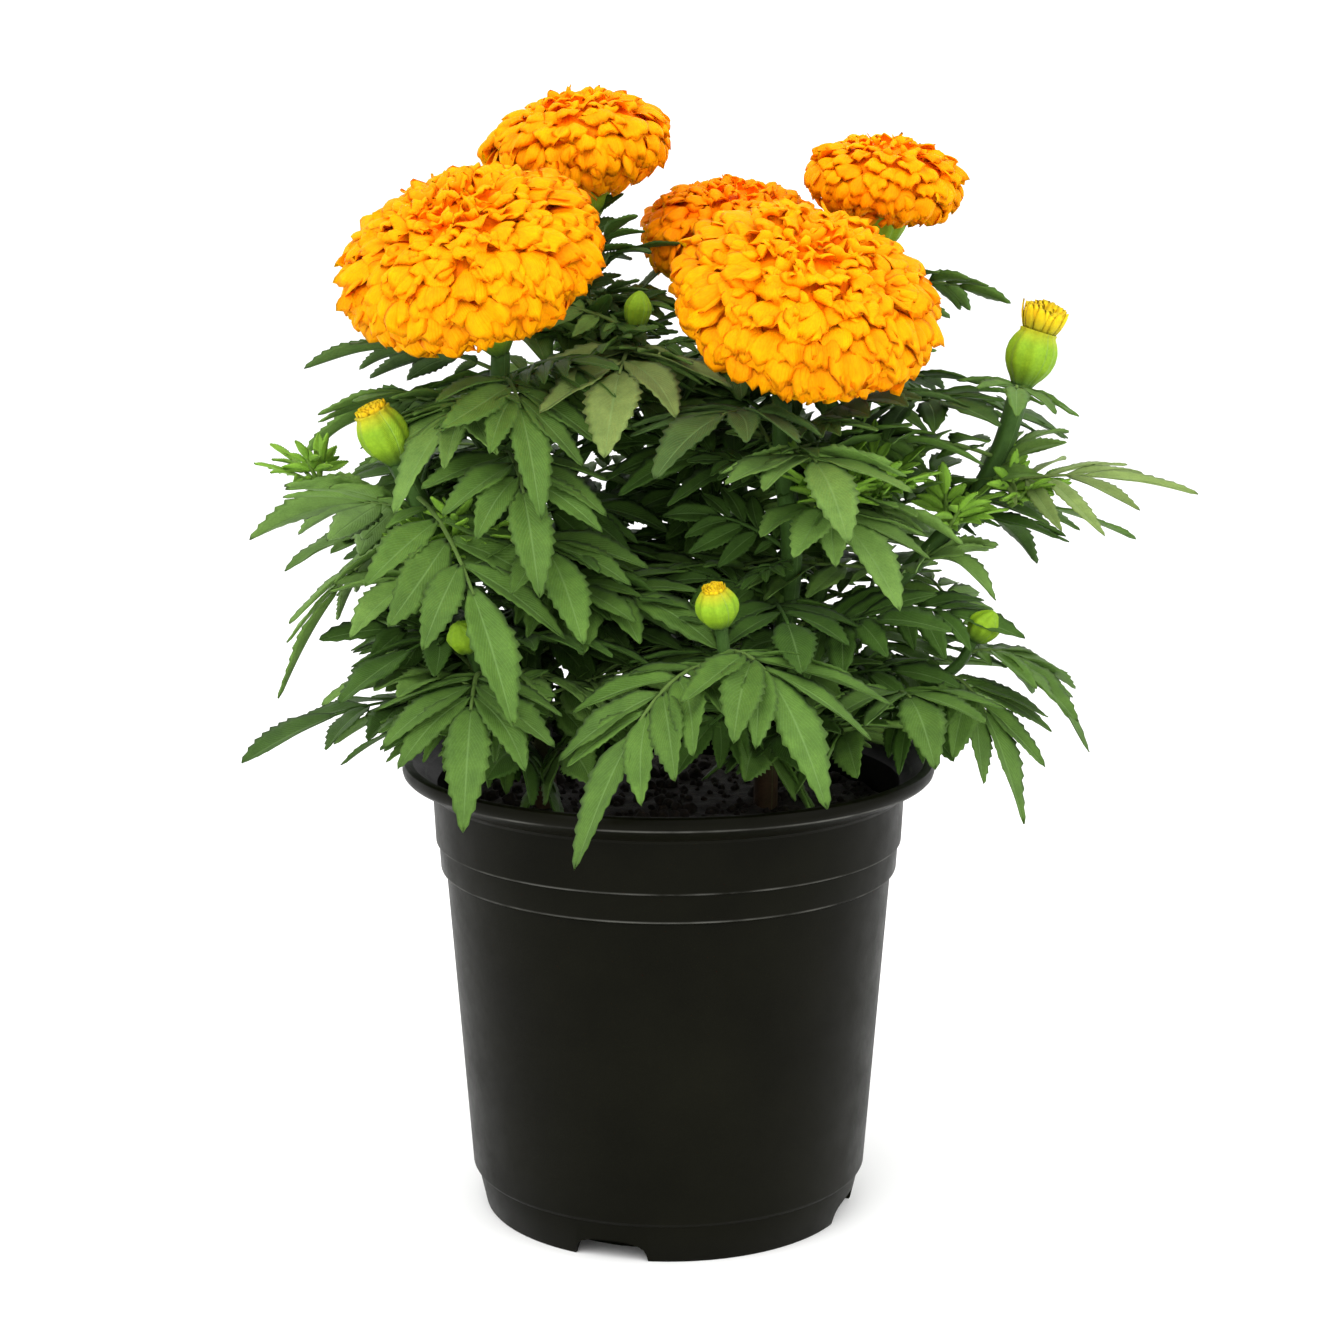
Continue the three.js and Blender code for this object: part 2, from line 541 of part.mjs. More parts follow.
// The angle and the size of a leaf's pairs of leaflets, which are largest at the middle pairs.
const leafletAngle = (i, pairs) => {
  const share = i / Math.max(1, pairs - 1);
  return radians(THREE.MathUtils.lerp(LEAFLET.steepest, LEAFLET.flattest, share));
};
const leafletSize = (i, pairs) => {
  const swell = Math.sin((Math.PI * (i + 0.7)) / (pairs + 0.2));
  return LEAFLET.smallest + (1 - LEAFLET.smallest) * swell;
};

// One leaf as a closed body: a square rib with keeled leaflets growing out of its sides and its end.
function leafBody(leaf) {
  const { base, tip, arch, pairs, blade, roll, outline } = leaf;
  const [length, width] = blade;
  const frame = leafFrame(base, tip, arch, roll);
  const span = base.distanceTo(tip) * (1 + (arch / base.distanceTo(tip)) ** 2);
  const end = 1 - (length * LEAFLET.endLength) / span;
  const first = end * BARE_STALK;
  const foot = LEAFLET.foot / span;
  const points = [];
  const faces = [];
  const ring = (u) => {
    const shrink = 1 - (1 - RACHIS.taper) * (u / end);
    const [w, h] = [RACHIS.halfWidth * shrink, RACHIS.halfHeight * shrink];
    const start = points.length;
    for (const [a, b] of [[-w, h], [w, h], [w, -h], [-w, -h]]) {
      points.push(moved(frame.place(u), [frame.sideways(u), a], [frame.face(u), b]));
    }
    return start;
  };
  // Grows a leaflet out of the four corners [top near, top far, bottom far, bottom near].
  const leaflet = ([a, b, c, d], line, halfWidth, down) => {
    const rows = outline.map((_, row) => [0, 1, 2].map((i) => points.length + 3 * row + i));
    for (const [s, share] of outline) {
      const centre = line.at(s);
      points.push(moved(centre, [line.across, -halfWidth * share]));
      points.push(moved(centre, [line.across, halfWidth * share]));
      points.push(moved(centre, [down, LEAFLET.keel * (1 + share) / 2]));
    }
    const end = points.push(line.at(1)) - 1;
    const [near, far, keel] = rows[0];
    faces.push([b, a, near], [b, near, far], [a, d, near], [d, c, keel]);
    faces.push([d, keel, near], [c, b, far], [c, far, keel]);
    rows.slice(1).forEach(([near2, far2, keel2], row) => {
      const [near1, far1, keel1] = rows[row];
      faces.push([far1, near1, near2], [far1, near2, far2], [near1, keel1, keel2], [near1, keel2, near2]);
      faces.push([keel1, far1, far2], [keel1, far2, keel2]);
    });
    const [lastNear, lastFar, lastKeel] = rows.at(-1);
    faces.push([lastFar, lastNear, end], [lastNear, lastKeel, end], [lastKeel, lastFar, end]);
  };
  let last = ring(0);
  faces.push([last, last + 3, last + 2, last + 1]);
  const link = (next) => {
    for (let k = 0; k < 4; k += 1) {
      const after = (k + 1) % 4;
      faces.push([last + k, last + after, next + after, next + k]);
    }
    last = next;
  };
  link(ring(first * FIRST_BEND));
  for (let i = 0; i < pairs; i += 1) {
    const u = first + ((end - first) * i) / pairs;
    link(ring(u));
    const far = ring(u + foot);
    faces.push([last, last + 1, far + 1, far], [last + 3, far + 3, far + 2, last + 2]);
    const angle = leafletAngle(i, pairs);
    const size = leafletSize(i, pairs);
    const down = frame.face(u).negate();
    const right = leafletLine(frame, u + foot / 2, 1, angle, length * size);
    const left = leafletLine(frame, u + foot / 2, -1, angle, length * size);
    leaflet([last + 1, far + 1, far + 2, last + 2], right, (width * size) / 2, down);
    leaflet([far, last, last + 3, far + 3], left, (width * size) / 2, down);
    last = far;
  }
  link(ring(end));
  const line = { at: (s) => frame.place(end + (1 - end) * s), across: frame.sideways(end).negate() };
  leaflet([last + 1, last, last + 3, last + 2], line, width * LEAFLET.endWidth, frame.face(end).negate());
  return { points, faces };
}

// ---------------------------------------------------------------- plants
function leafBase(stem, along) {
  return curveOf(stemCourse(stem).route).getPoint(along);
}

function placedLeaves(plant) {
  return LEAVES[plant].map(([stem, along, tip, arch, pairs, length, width, roll]) => {
    const base = leafBase(STEMS[plant][stem], along);
    return { base, tip: vector(tip), arch, pairs, blade: [length, width], roll, outline: OUTLINE.fine };
  });
}

function isClear(points, plant) {
  const side = plant === 'plant_left' ? -1 : 1;
  return points.every((p) => {
    const apart = side * p.clone().sub(DIVIDE.point).dot(DIVIDE.normal) > CLEAR.divide;
    const beyondRim = Math.max(0, Math.hypot(p.x, p.y) - POT.rimRadius - CLEAR.rim);
    const overPot = p.z > POT.height + CLEAR.pot - beyondRim;
    const offHeads = Object.values(BLOOMS).every((bloom) => {
      const { centre, axis, half } = bloomFrame(bloom);
      const away = p.clone().sub(centre);
      const height = away.dot(axis);
      const flat = Math.sqrt(Math.max(0, away.lengthSq() - height * height));
      return Math.hypot(flat / (bloom.radius + CLEAR.heads), height / (half + CLEAR.heads)) > 1;
    });
    return apart && overPot && offHeads;
  });
}

function ruleLeaves(plant) {
  const { seed, rows } = LEAF_RULE[plant];
  const draw = drawer(seed);
  const leaves = [];
  for (const [stem, from, to, count, turn] of rows) {
    for (let node = 0; node < count; node += 1) {
      const share = node / (count - 1);
      const base = leafBase(STEMS[plant][stem], from + (to - from) * share);
      for (const opposite of [0, 180]) {
        const heading = turn + 90 * node + opposite + RULE.turnDraw * draw();
        const reach = RULE.reach - RULE.shorten * share + RULE.reachDraw * draw();
        const rise = RULE.riseDraw * draw() - RULE.drop;
        const leaf = bentClear(base, heading, reach, rise, plant);
        if (leaf) leaves.push(leaf);
      }
    }
  }
  return leaves;
}

// Turns a leaf a little further each time until nothing is in its way.
function bentClear(base, heading, reach, rise, plant) {
  for (let attempt = 0; attempt < RULE.tries; attempt += 1) {
    const swing = RULE.swing * Math.ceil(attempt / 2) * (attempt % 2 === 0 ? 1 : -1);
    const way = new THREE.Vector3(1, 0, 0).applyAxisAngle(UP, radians(heading + swing));
    const tip = moved(base, [way, reach], [UP, rise + RULE.lift * attempt]);
    const { arch, pairs, blade } = RULE;
    const leaf = { base, tip, arch, pairs, blade, roll: 0, outline: OUTLINE.plain };
    if (isClear(leafBody(leaf).points, plant)) return leaf;
  }
  return null;
}

function makePlant(plant) {
  const stems = Object.values(STEMS[plant]).map(makeStem);
  const leaves = [...placedLeaves(plant), ...ruleLeaves(plant)].map((leaf) => {
    const { points, faces } = leafBody(leaf);
    return solid(points, faces);
  });
  return named(plant, join([...stems, ...leaves]), 'leaf');
}

// ---------------------------------------------------------------- the whole
const marigold = new THREE.Group();
marigold.add(makePot(), makeSoil());
for (const plant of Object.keys(STEMS)) marigold.add(makePlant(plant));
for (const stem of Object.values(STEMS).flatMap(Object.values)) {
  if (BUDS[stem[2]]?.mouth > 0) marigold.add(makeFlorets(stem));
}
for (const name of Object.keys(BLOOMS)) marigold.add(makeBloom(name));

export default marigold;
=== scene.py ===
"""Looks of the potted marigold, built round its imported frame: ruffled flower heads, toothed pinnate
leaves, ribbed stems and buds, crumbly potting mix and a satin black pot. Shapes are worked out in
millimetres, +Z up, and become metres when a mesh is made."""
from math import acos, ceil, copysign, cos, hypot, pi, radians, sin, sqrt, tan
from types import SimpleNamespace as Values

import bpy
import numpy as np
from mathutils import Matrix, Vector


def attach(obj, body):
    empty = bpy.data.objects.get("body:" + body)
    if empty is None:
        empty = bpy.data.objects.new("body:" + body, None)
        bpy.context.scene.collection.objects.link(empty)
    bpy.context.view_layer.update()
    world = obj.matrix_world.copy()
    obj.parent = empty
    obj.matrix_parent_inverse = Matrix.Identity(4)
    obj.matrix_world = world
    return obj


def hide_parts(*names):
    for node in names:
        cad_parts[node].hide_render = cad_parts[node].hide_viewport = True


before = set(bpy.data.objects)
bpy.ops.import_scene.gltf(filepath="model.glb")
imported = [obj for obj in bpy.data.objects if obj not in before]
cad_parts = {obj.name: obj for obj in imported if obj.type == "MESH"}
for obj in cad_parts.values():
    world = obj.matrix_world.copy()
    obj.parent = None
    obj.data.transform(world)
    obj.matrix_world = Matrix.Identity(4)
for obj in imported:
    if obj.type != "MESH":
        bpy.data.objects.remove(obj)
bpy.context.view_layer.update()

# ---- driving values
MM = 0.001
UP = np.array([0, 0, 1.0])
NORTH = np.array([0, 1.0, 0])
GOLDEN_ANGLE = pi * (3 - sqrt(5))
# The gap between seated parts, and how far below its centre a head meets its cup, in half heights.
GAP = 0.3
SEAT = 0.6

POT = Values(
    rim_radius=82.5, height=143, lip_depth=4.5, neck_radius=73.3, neck_z=134.3,
    band_radius=72.1, band_z=118, step_radius=71, step_z=109.2, step_in=1.7,
    low_radius=62, low_z=13.2, heel_radius=60.6, foot_radius=58, wall=1.5,
    disc_radius=47, channel_height=3, floor=2, sides=160,
)
NOTCH = Values(count=4, first_angle=-107.6, width=23, height=6.5, inner_radius=52)
SOIL = Values(
    top_z=128, mound=3, relief=1.4, edge=70.2, play=0.15,
    seed=71, crumbs=620, small=(0.5, 1.2), large=(1.2, 2.6), small_share=0.8,
)

# Flower heads: centre, lean to the right and to the front, radius, height, ruffled petals, how wide
# and how yellow these are, and the share of the solid's radius and height that they fill.
BLOOMS = {
    "bloom_front_left": dict(
        seed=71, centre=(-57.1, -38, 298.3), lean=(-15, 28), radius=38, height=50, petals=320, fit=(1, 0.8)),
    "bloom_front_right": dict(
        seed=62, centre=(39.5, -42, 286.5), lean=(12, 30), radius=39, height=52,
        petals=320, fit=(0.99, 0.78)),
    "bloom_back_left": dict(
        seed=73, centre=(-28, 24, 329.5), lean=(-8, 6), radius=28, height=32, petals=160, wide=1.25),
    "bloom_back_middle": dict(
        seed=64, centre=(20.7, 36, 301.5), lean=(3, 12), radius=29, height=34,
        petals=200, wide=1.05, yellow=0.84),
    "bloom_back_right": dict(
        seed=75, centre=(66, 13, 319), lean=(6, 8), radius=25, height=28,
        petals=140, wide=1.2, fit=(0.95, 0.93)),
}
# How far over the head its petals go in degrees, their width as a share of its radius, and the
# small crowding ones of its middle, one to so many others.
HEAD = Values(
    top=5, bottom=144, width=0.26, wider=0.09, vary=(0.8, 1.2),
    crown_part=5, crown=50, crown_width=(0.19, 0.28), core=0.84, thick=0.35,
)

# Stems: route, radius at each end, and the flower head or bud at the top.
STEMS = {"plant_left": {
    "main": ([(-38, -10, 95), (-38, -10, 131), (-39, -11, 150), (-44, -14, 190), (-50, -19, 245)],
             (3.7, 2.7), "bloom_front_left"),
    "back": ([(-39, -9, 146), (-37, 10, 185), (-30, 22, 245)], (2.5, 2.1), "bloom_back_left"),
    "side": ([(-42, -12, 165), (-60, -22, 195), (-71, -30, 221)], (2.2, 3.2), "bud_left"),
    "low": ([(-39, -11, 142), (-52, -36, 168)], (1.9, 1.5), "bud_low_left"),
    "rear": ([(-39, -9, 138), (-56, 22, 168), (-66, 44, 200)], (2.2, 1.3), None),
    "inner": ([(-33, 17, 224), (-18, 8, 250), (-11, 2, 268)], (1.5, 1.5), "bud_inner"),
}, "plant_right": {
    "main": ([(30, -8, 95), (30, -8, 134), (31, -9, 153), (37, -16, 205), (34, -24, 238)],
             (3.7, 2.7), "bloom_front_right"),
    "middle": ([(31, -8, 150), (28, 18, 190), (20, 32, 240)], (2.5, 2.1), "bloom_back_middle"),
    "back": ([(33, -10, 160), (50, 6, 205), (62, 14, 262)], (2.4, 2), "bloom_back_right"),
    "side": ([(34, -12, 172), (66, -8, 196), (90, -3, 220), (101, 0, 238)], (2.2, 3.2), "bud_right"),
    "low": ([(31, -9, 145), (68, -16, 162), (86, -19, 174)], (1.9, 1.5), "bud_low_right"),
    "front": ([(32, -10, 152), (24, -42, 172), (17, -57, 184)], (2, 1.7), "bud_middle"),
    "rear": ([(31, -7, 140), (44, 28, 165), (50, 54, 196)], (2.2, 1.3), None),
}}

# Buds: tip, greatest radius, length, the florets' opening and how far they stand out of it, then
# the case's rim as a share of its radius, how far the florets spread, and how yellow the rim is.
BUDS = {
    "bud_left": dict(
        tip=(-86.5, -36, 254), radius=7, length=17, mouth=3.6, tuft=2.0, rim=0.76, flare=0.1, blush=0.65),
    "bud_right": dict(
        tip=(112, 0, 274.5), radius=7.4, length=17, mouth=5.4, tuft=10, rim=0.74, flare=0.36, blush=0.45),
    "bud_middle": dict(
        tip=(13, -63, 205.5), radius=6, length=12, mouth=3, tuft=1.6, rim=0.62, flare=0.1, blush=0.6),
    "bud_low_left": dict(tip=(-61, -53, 194), radius=4.8, length=11, mouth=0),
    "bud_low_right": dict(tip=(98, -21, 192), radius=4.8, length=11, mouth=0),
    "bud_inner": dict(tip=(-8.5, 0, 286.5), radius=4, length=12, mouth=0),
}

# Leaves: stem, place along it, tip, arch, pairs, leaflet length and width, roll, tone of green.
LEAVES = {"plant_left": [
    ("main", 0.945, (-108, -20, 265), 14, 3, 31, 9, 20, "grey"),
    ("main", 0.84, (-111, 0, 237), 20, 4, 30, 10, 15, "light"),
    ("side", 0.7, (-125.5, -20, 213.7), 14, 4, 38, 13, 25, "light"),
    ("side", 0.55, (-119, -14, 164), 34, 3, 32, 10, 0, "light"),
    ("side", 0.8, (-43, -93, 172), 24, 3, 37, 13.5, 0, "mid"),
    ("low", 0.5, (-102, -44, 168), 20, 4, 32, 11, 0, "light"),
    ("low", 0.75, (-57, -98, 143), 26, 3, 36, 12, 0, "mid"),
    ("low", 0.3, (-99, -26, 146), 16, 3, 26, 9, 0, "shaded"),
    ("main", 0.92, (-36, -66, 226), 26, 3, 33, 11, -10, "mid"),
    ("inner", 0.72, (-18, -68, 244), 16, 2, 38, 15, 0, "olive"),
    ("main", 0.775, (-36, -80, 206), 26, 3, 33, 12, 0, "mid"),
    ("main", 0.68, (-24, -76, 192), 26, 3, 34, 12, 0, "mid"),
    ("main", 0.88, (-79, -52, 226), 20, 3, 31, 10, 0, "light"),
    ("side", 0.35, (-92, -56, 190), 20, 3, 33, 11, 0, "light"),
], "plant_right": [
    ("main", 0.905, (-4, -75, 239), 20, 3, 36, 12, 0, "grey"),
    ("main", 0.775, (50, -84, 222), 26, 3, 36, 13, 0, "light"),
    ("front", 0.55, (-26, -104, 134), 40, 4, 34, 12, 0, "mid"),
    ("front", 0.75, (44, -99, 150), 26, 3, 38, 13, 0, "mid"),
    ("main", 0.84, (88, -34, 255), 18, 4, 30, 10, 0, "grey"),
    ("side", 0.6, (159, -16, 227), 9, 3, 34, 7, 15, "olive"),
    ("side", 0.53, (123, 8, 243), 14, 3, 26, 8, 0, "light"),
    ("side", 0.47, (116, 22, 200), 14, 3, 30, 10, 0, "shaded"),
    ("low", 0.85, (127, -26, 150), 22, 4, 30, 10, 0, "mid"),
    ("low", 0.6, (106, -40, 131), 24, 3, 30, 11, 0, "mid"),
    ("side", 0.3, (98, -24, 196), 18, 3, 32, 12, 0, "light"),
    ("low", 0.3, (76, -76, 156), 26, 3, 34, 12, 0, "mid"),
    ("main", 0.695, (66, -66, 200), 22, 3, 33, 12, 0, "light"),
]}
# Leaves in pairs up a stem: seed, then stem, the shares of it they start and stop at, pairs, heading.
LEAF_RULE = {
    "plant_left": (5, [("back", 0.3, 0.86, 3, 60), ("rear", 0.3, 0.98, 3, 20)]),
    "plant_right": (
        9, [("middle", 0.3, 0.86, 3, 75), ("back", 0.4, 0.8, 2, 10), ("rear", 0.4, 0.98, 3, 40)]),
}
RULE = Values(
    turn=14, reach=88, shorten=26, vary=8, rise=14, drop=12, climb=3, arch=20, blade=(31, 11.5),
    swing=11, tries=9,
)
# The upright plane between the plants, and how far leaves stay from it, the pot and the heads.
DIVIDE = Values(point=np.array([-4.0, 0, 0]), normal=np.array([0.97, 0.24, 0]))
CLEAR = Values(divide=1.5, pot=4, rim=3, head=3)
# Leaves that fill the bush: the bounds of their tips, and their size as shares of their reach. Then
# how many, the share of a stem they start above, their reach, how high.
BUSH = Values(
    front=-62, back=98, left=-106, right=122, clear=-26, tries=420,
    length=(0.38, 0.48), width=(0.13, 0.18), arch=(0.1, 0.32), roll=30,
)
FILLING = [
    Values(count=66, start=0.14, reach=(50, 30), top=262,
           stems=("main", "main", "main", "side", "back", "middle", "low", "rear", "front")),
    Values(count=26, start=0.5, reach=(26, 20), top=296, stems=("back", "middle", "inner", "main")),
]
# Leaves behind the placed ones that close the gaps in the bush: stem, place along it, tip, and the tone
# where it isn't the green with painted shade. Their size is in shares of their reach.
BACK = Values(blade=np.array([0.45, 0.17]), arch=0.25, roll=32, vary=15)
BACKING = {"plant_left": [
    ("main", 0.62, (-2, 4, 206)), ("back", 0.5, (6, 26, 222)), ("back", 0.62, (2, 6, 240)),
    ("main", 0.5, (4, -22, 186)), ("back", 0.3, (0, 40, 196)), ("rear", 0.4, (-10, 56, 214)),
    ("low", 0.2, (-64, -62, 150), "mid"), ("main", 0.32, (-22, -72, 151), "mid"),
    ("main", 0.3, (-52, -72, 152)), ("low", 0.35, (-84, -40, 150), "mid"),
    ("main", 0.36, (-6, -50, 156)), ("low", 0.6, (-40, -78, 158), "mid"), ("rear", 0.3, (-92, 6, 152)),
    ("rear", 0.5, (-98, 24, 166), "mid"), ("main", 0.7, (0, 2, 213)), ("back", 0.5, (2, 12, 219)),
], "plant_right": [
    ("middle", 0.55, (-8, 10, 232)), ("middle", 0.45, (-14, 4, 216)), ("main", 0.62, (-2, -14, 220)),
    ("middle", 0.35, (-18, 22, 198)), ("main", 0.55, (-6, -26, 200)), ("middle", 0.65, (-2, 20, 252)),
    ("main", 0.32, (22, -74, 152), "mid"), ("front", 0.25, (2, -66, 152)),
    ("low", 0.15, (54, -70, 152), "mid"), ("low", 0.3, (84, -48, 152)), ("main", 0.34, (38, -78, 156)),
    ("rear", 0.3, (92, 22, 156)), ("middle", 0.52, (-12, 4, 218)), ("middle", 0.44, (-14, 12, 207)),
    ("middle", 0.6, (-8, 8, 226), "mid"),
]}
# A blade's under side is so much paler than its upper one.
UNDERSIDE = 1.25
LEAFLET = Values(base=3.2, sag=0.2, steepest=64, flattest=38, thick=0.45, last_width=0.56)
# A leaf's rib: its section, where the pairs start, and the leaflet lengths that it ends before the tip.
RACHIS = Values(half_width=0.95, half_height=0.7, taper=0.55, first=0.4, short=1.05)

# Tones of green, as linear colours.
GREENS = {name: np.array(tone) for name, tone in {
    "mid": (0.068, 0.142, 0.021),
    # Leaf green with painted shade, for leaves in the bush's shade.
    "shaded": (0.041, 0.096, 0.012),
    # Leaf green with painted sunlight, for sunlit leaves.
    "light": (0.115, 0.215, 0.042),
    "olive": (0.165, 0.24, 0.064),
    "grey": (0.048, 0.095, 0.02),
    "young": (0.165, 0.33, 0.03),
    "rib": (0.13, 0.2, 0.05),
    "stem": (0.042, 0.1, 0.016),
    "woody": (0.062, 0.034, 0.018),
    "case": (0.23, 0.4, 0.016),
    "blush": (0.62, 0.42, 0.01),
}.items()}
# Tones of a petal at its root, in its middle and at its edge. The root tone is partly the petal's own deeper
# orange and partly painted shade among the petals; the edge tone is a painted highlight on the lit petal
# edges.
ROOT_TONE_AND_SHADE, WARM, LIT_EDGE = np.array([(1, 0.19, 0), (1, 0.23, 0), (1, 0.27, 0)])

# Stage, in metres and watts.
CAMERA = Values(lens=77.9, sensor=36, place=(0.000455, -0.88, 0.3404), down=10.95)
# Each light's place, width and power.
LIGHTS = {"key": ((-0.5, -0.9, 1.3), 1.3, 13), "fill": ((0.9, -0.6, 0.8), 1.2, 5)}
LIGHT_AIM = (0, 0, 0.2)
SKY_STRENGTH = 1.4
FLOOR_HALF = 6.0


# ---- mesh making
def unit(vectors):
    return vectors / np.maximum(np.linalg.norm(vectors, axis=-1, keepdims=True), 1e-9)


def level(angle):
    """The level way at this angle from +X."""
    return np.array([cos(angle), sin(angle), 0])


def spoke(axis, angle):
    """The way square to the axis at this angle round it."""
    across = unit(np.cross(NORTH, axis))
    return across * cos(angle) + np.cross(axis, across) * sin(angle)


def new_object(name, data):
    obj = bpy.data.objects.new(name, data)
    bpy.context.scene.collection.objects.link(obj)
    return obj


class Heap:
    """Closed bodies that go into one mesh, with a place on the blade and a tint for each point."""

    def __init__(self):
        self.points, self.maps, self.tints = [], [], []
        self.corners, self.sizes = [], []
        self.count = 0

    def add(self, points, faces, places, tints):
        self.points.append(points)
        self.maps.append(places)
        self.tints.append(np.broadcast_to(tints, (len(points), 3)))
        for block in faces:
            self.corners.append((block + self.count).ravel())
            self.sizes.append(np.full(len(block), block.shape[1]))
        self.count += len(points)

    def piece(self, name, material, slot, nodes=()):
        points = np.vstack(self.points) * MM
        corners = np.hstack(self.corners)
        sizes = np.hstack(self.sizes)
        mesh = bpy.data.meshes.new(name)
        mesh.vertices.add(len(points))
        mesh.vertices.foreach_set("co", points.astype(np.float32).ravel())
        mesh.loops.add(len(corners))
        mesh.loops.foreach_set("vertex_index", corners.astype(np.int32))
        mesh.polygons.add(len(sizes))
        mesh.polygons.foreach_set("loop_start", (np.cumsum(sizes) - sizes).astype(np.int32))
        mesh.polygons.foreach_set("use_smooth", np.ones(len(sizes), bool))
        uv = mesh.uv_layers.new(name="blade")
        uv.data.foreach_set("uv", np.vstack(self.maps)[corners].astype(np.float32).ravel())
        tints = np.hstack([np.vstack(self.tints), np.ones((len(points), 1))])
        layer = mesh.color_attributes.new("tint", "FLOAT_COLOR", "POINT")
        layer.data.foreach_set("color", tints.astype(np.float32).ravel())
        mesh.materials.append(material)
        mesh.update()
        mesh.validate()
        obj = new_object(name, mesh)
        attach(obj, "root")
        if nodes:
            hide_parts(*nodes)
        return obj


def quads(ids):
    """The faces of a grid of point numbers."""
    return np.stack([ids[:-1, :-1], ids[:-1, 1:], ids[1:, 1:], ids[1:, :-1]], axis=-1).reshape(-1, 4)


def ringed(rows, sides):
    """The faces of stacked rings, closed by a fan round a point below and one above."""
    ids = np.arange(rows * sides).reshape(rows, sides)
    ids = np.hstack([ids, ids[:, :1]])
    first = np.stack([np.full(sides, rows * sides), ids[0, 1:], ids[0, :-1]], axis=-1)
    last = np.stack([np.full(sides, rows * sides + 1), ids[-1, :-1], ids[-1, 1:]], axis=-1)
    return [quads(ids), first, last]


def sheet(heap, grid, thick, t, v, tints):
    """A thin closed blade: a grid seen from above, with t from 0 to 1 along it and v from -1 to 1
    across it, and an under side that shares its rim."""
    rows, columns = grid.shape[:2]
    places = np.stack(np.broadcast_arrays(t, v * 0.5 + 0.5), axis=-1)
    tints = np.broadcast_to(tints, grid.shape)
    normal = unit(np.cross(np.gradient(grid, axis=1), np.gradient(grid, axis=0)))
    inner = (grid - thick * normal)[1:-1, 1:-1]
    upper = np.arange(rows * columns).reshape(rows, columns)
    lower = upper.copy()
    lower[1:-1, 1:-1] = rows * columns + np.arange((rows - 2) * (columns - 2)).reshape(rows - 2, -1)
    points = np.vstack([grid.reshape(-1, 3), inner.reshape(-1, 3)])
    maps = np.vstack([places.reshape(-1, 2), places[1:-1, 1:-1].reshape(-1, 2)])
    under = np.minimum(tints[1:-1, 1:-1].reshape(-1, 3) * UNDERSIDE, 1)
    tones = np.vstack([tints.reshape(-1, 3), under])
    heap.add(points, [quads(upper), quads(lower)[:, ::-1]], maps, tones)


def tube(heap, centres, radii, tints, sides, ribs=0, ribbing=0, ups=None, flat=1):
    """A bar along `centres` with a radius at each, ribbed lengthwise, closed at both ends."""
    tints = np.broadcast_to(tints, centres.shape)
    along = unit(np.gradient(centres, axis=0))
    across = unit(np.cross(NORTH, along)) if ups is None else unit(np.cross(along, ups))
    third = np.cross(along, across)
    angles = 2 * pi * np.arange(sides) / sides
    swell = 1 + ribs * np.cos(ribbing * angles)
    rings = centres[:, None] + radii[:, None, None] * swell[None, :, None] * (
        np.cos(angles)[None, :, None] * across[:, None]
        + flat * np.sin(angles)[None, :, None] * third[:, None]
    )
    rows = len(centres)
    points = np.vstack([rings.reshape(-1, 3), centres[:1], centres[-1:]])
    share = np.linspace(0, 1, rows)
    maps = np.stack(np.broadcast_arrays(share[:, None], np.cos(angles)[None]), axis=-1).reshape(-1, 2)
    maps = np.vstack([maps, (0, 0), (1, 0)])
    tones = np.vstack([np.repeat(tints, sides, axis=0), tints[:1], tints[-1:]])
    heap.add(points, ringed(rows, sides), maps, tones)


# ---- the plants' frame
def drawer(seed):
    """The same seeded draws between -1 and 1 as the solids use."""
    state, modulus = seed * 7919, 2147483647
    while True:
        state = (state * 16807) % modulus
        yield 2 * state / modulus - 1


def head_frame(head):
    """A flower head's centre, axis and half height."""
    right, front = np.radians(head["lean"])
    axis = unit(np.array([tan(right), -tan(front), 1.0]))
    return np.array(head["centre"], float), axis, head["height"] / 2


def curve(route, t):
    """Points of a smooth curve through the route, for shares t of it."""
    points = np.array(route, float)
    points = np.vstack([2 * points[0] - points[1], points, 2 * points[-1] - points[-2]])
    t = np.atleast_1d(t) * (len(route) - 1)
    i = np.minimum(t.astype(int), len(route) - 2)
    w = (t - i)[:, None]
    a, b, c, d = (points[i + k] for k in range(4))
    m, n = (c - a) / 2, (d - b) / 2
    return b + m * w + (-3 * b + 3 * c - 2 * m - n) * w**2 + (2 * b - 2 * c + m + n) * w**3


def bud_frame(bud, route):
    """A bud's tip and axis."""
    tip = np.array(bud["tip"], float)
    return tip, unit(tip - route[-1])


def cup_length(bloom):
    """How long the green cup under a flower head is."""
    return 7 + bloom["radius"] * 0.28


def stem_route(stem):
    """A stem's route with its end at the foot of the head or bud that it carries."""
    route, _, head = stem
    route = list(route)
    if head in BLOOMS:
        bloom = BLOOMS[head]
        centre, axis, half = head_frame(bloom)
        route.append(centre - axis * (SEAT * half + GAP + cup_length(bloom)))
    elif head in BUDS:
        bud = BUDS[head]
        tip, axis = bud_frame(bud, route)
        route.append(tip - axis * bud["length"])
    return route


def leaf_base(plant, stem, along):
    return curve(stem_route(STEMS[plant][stem]), along)[0]


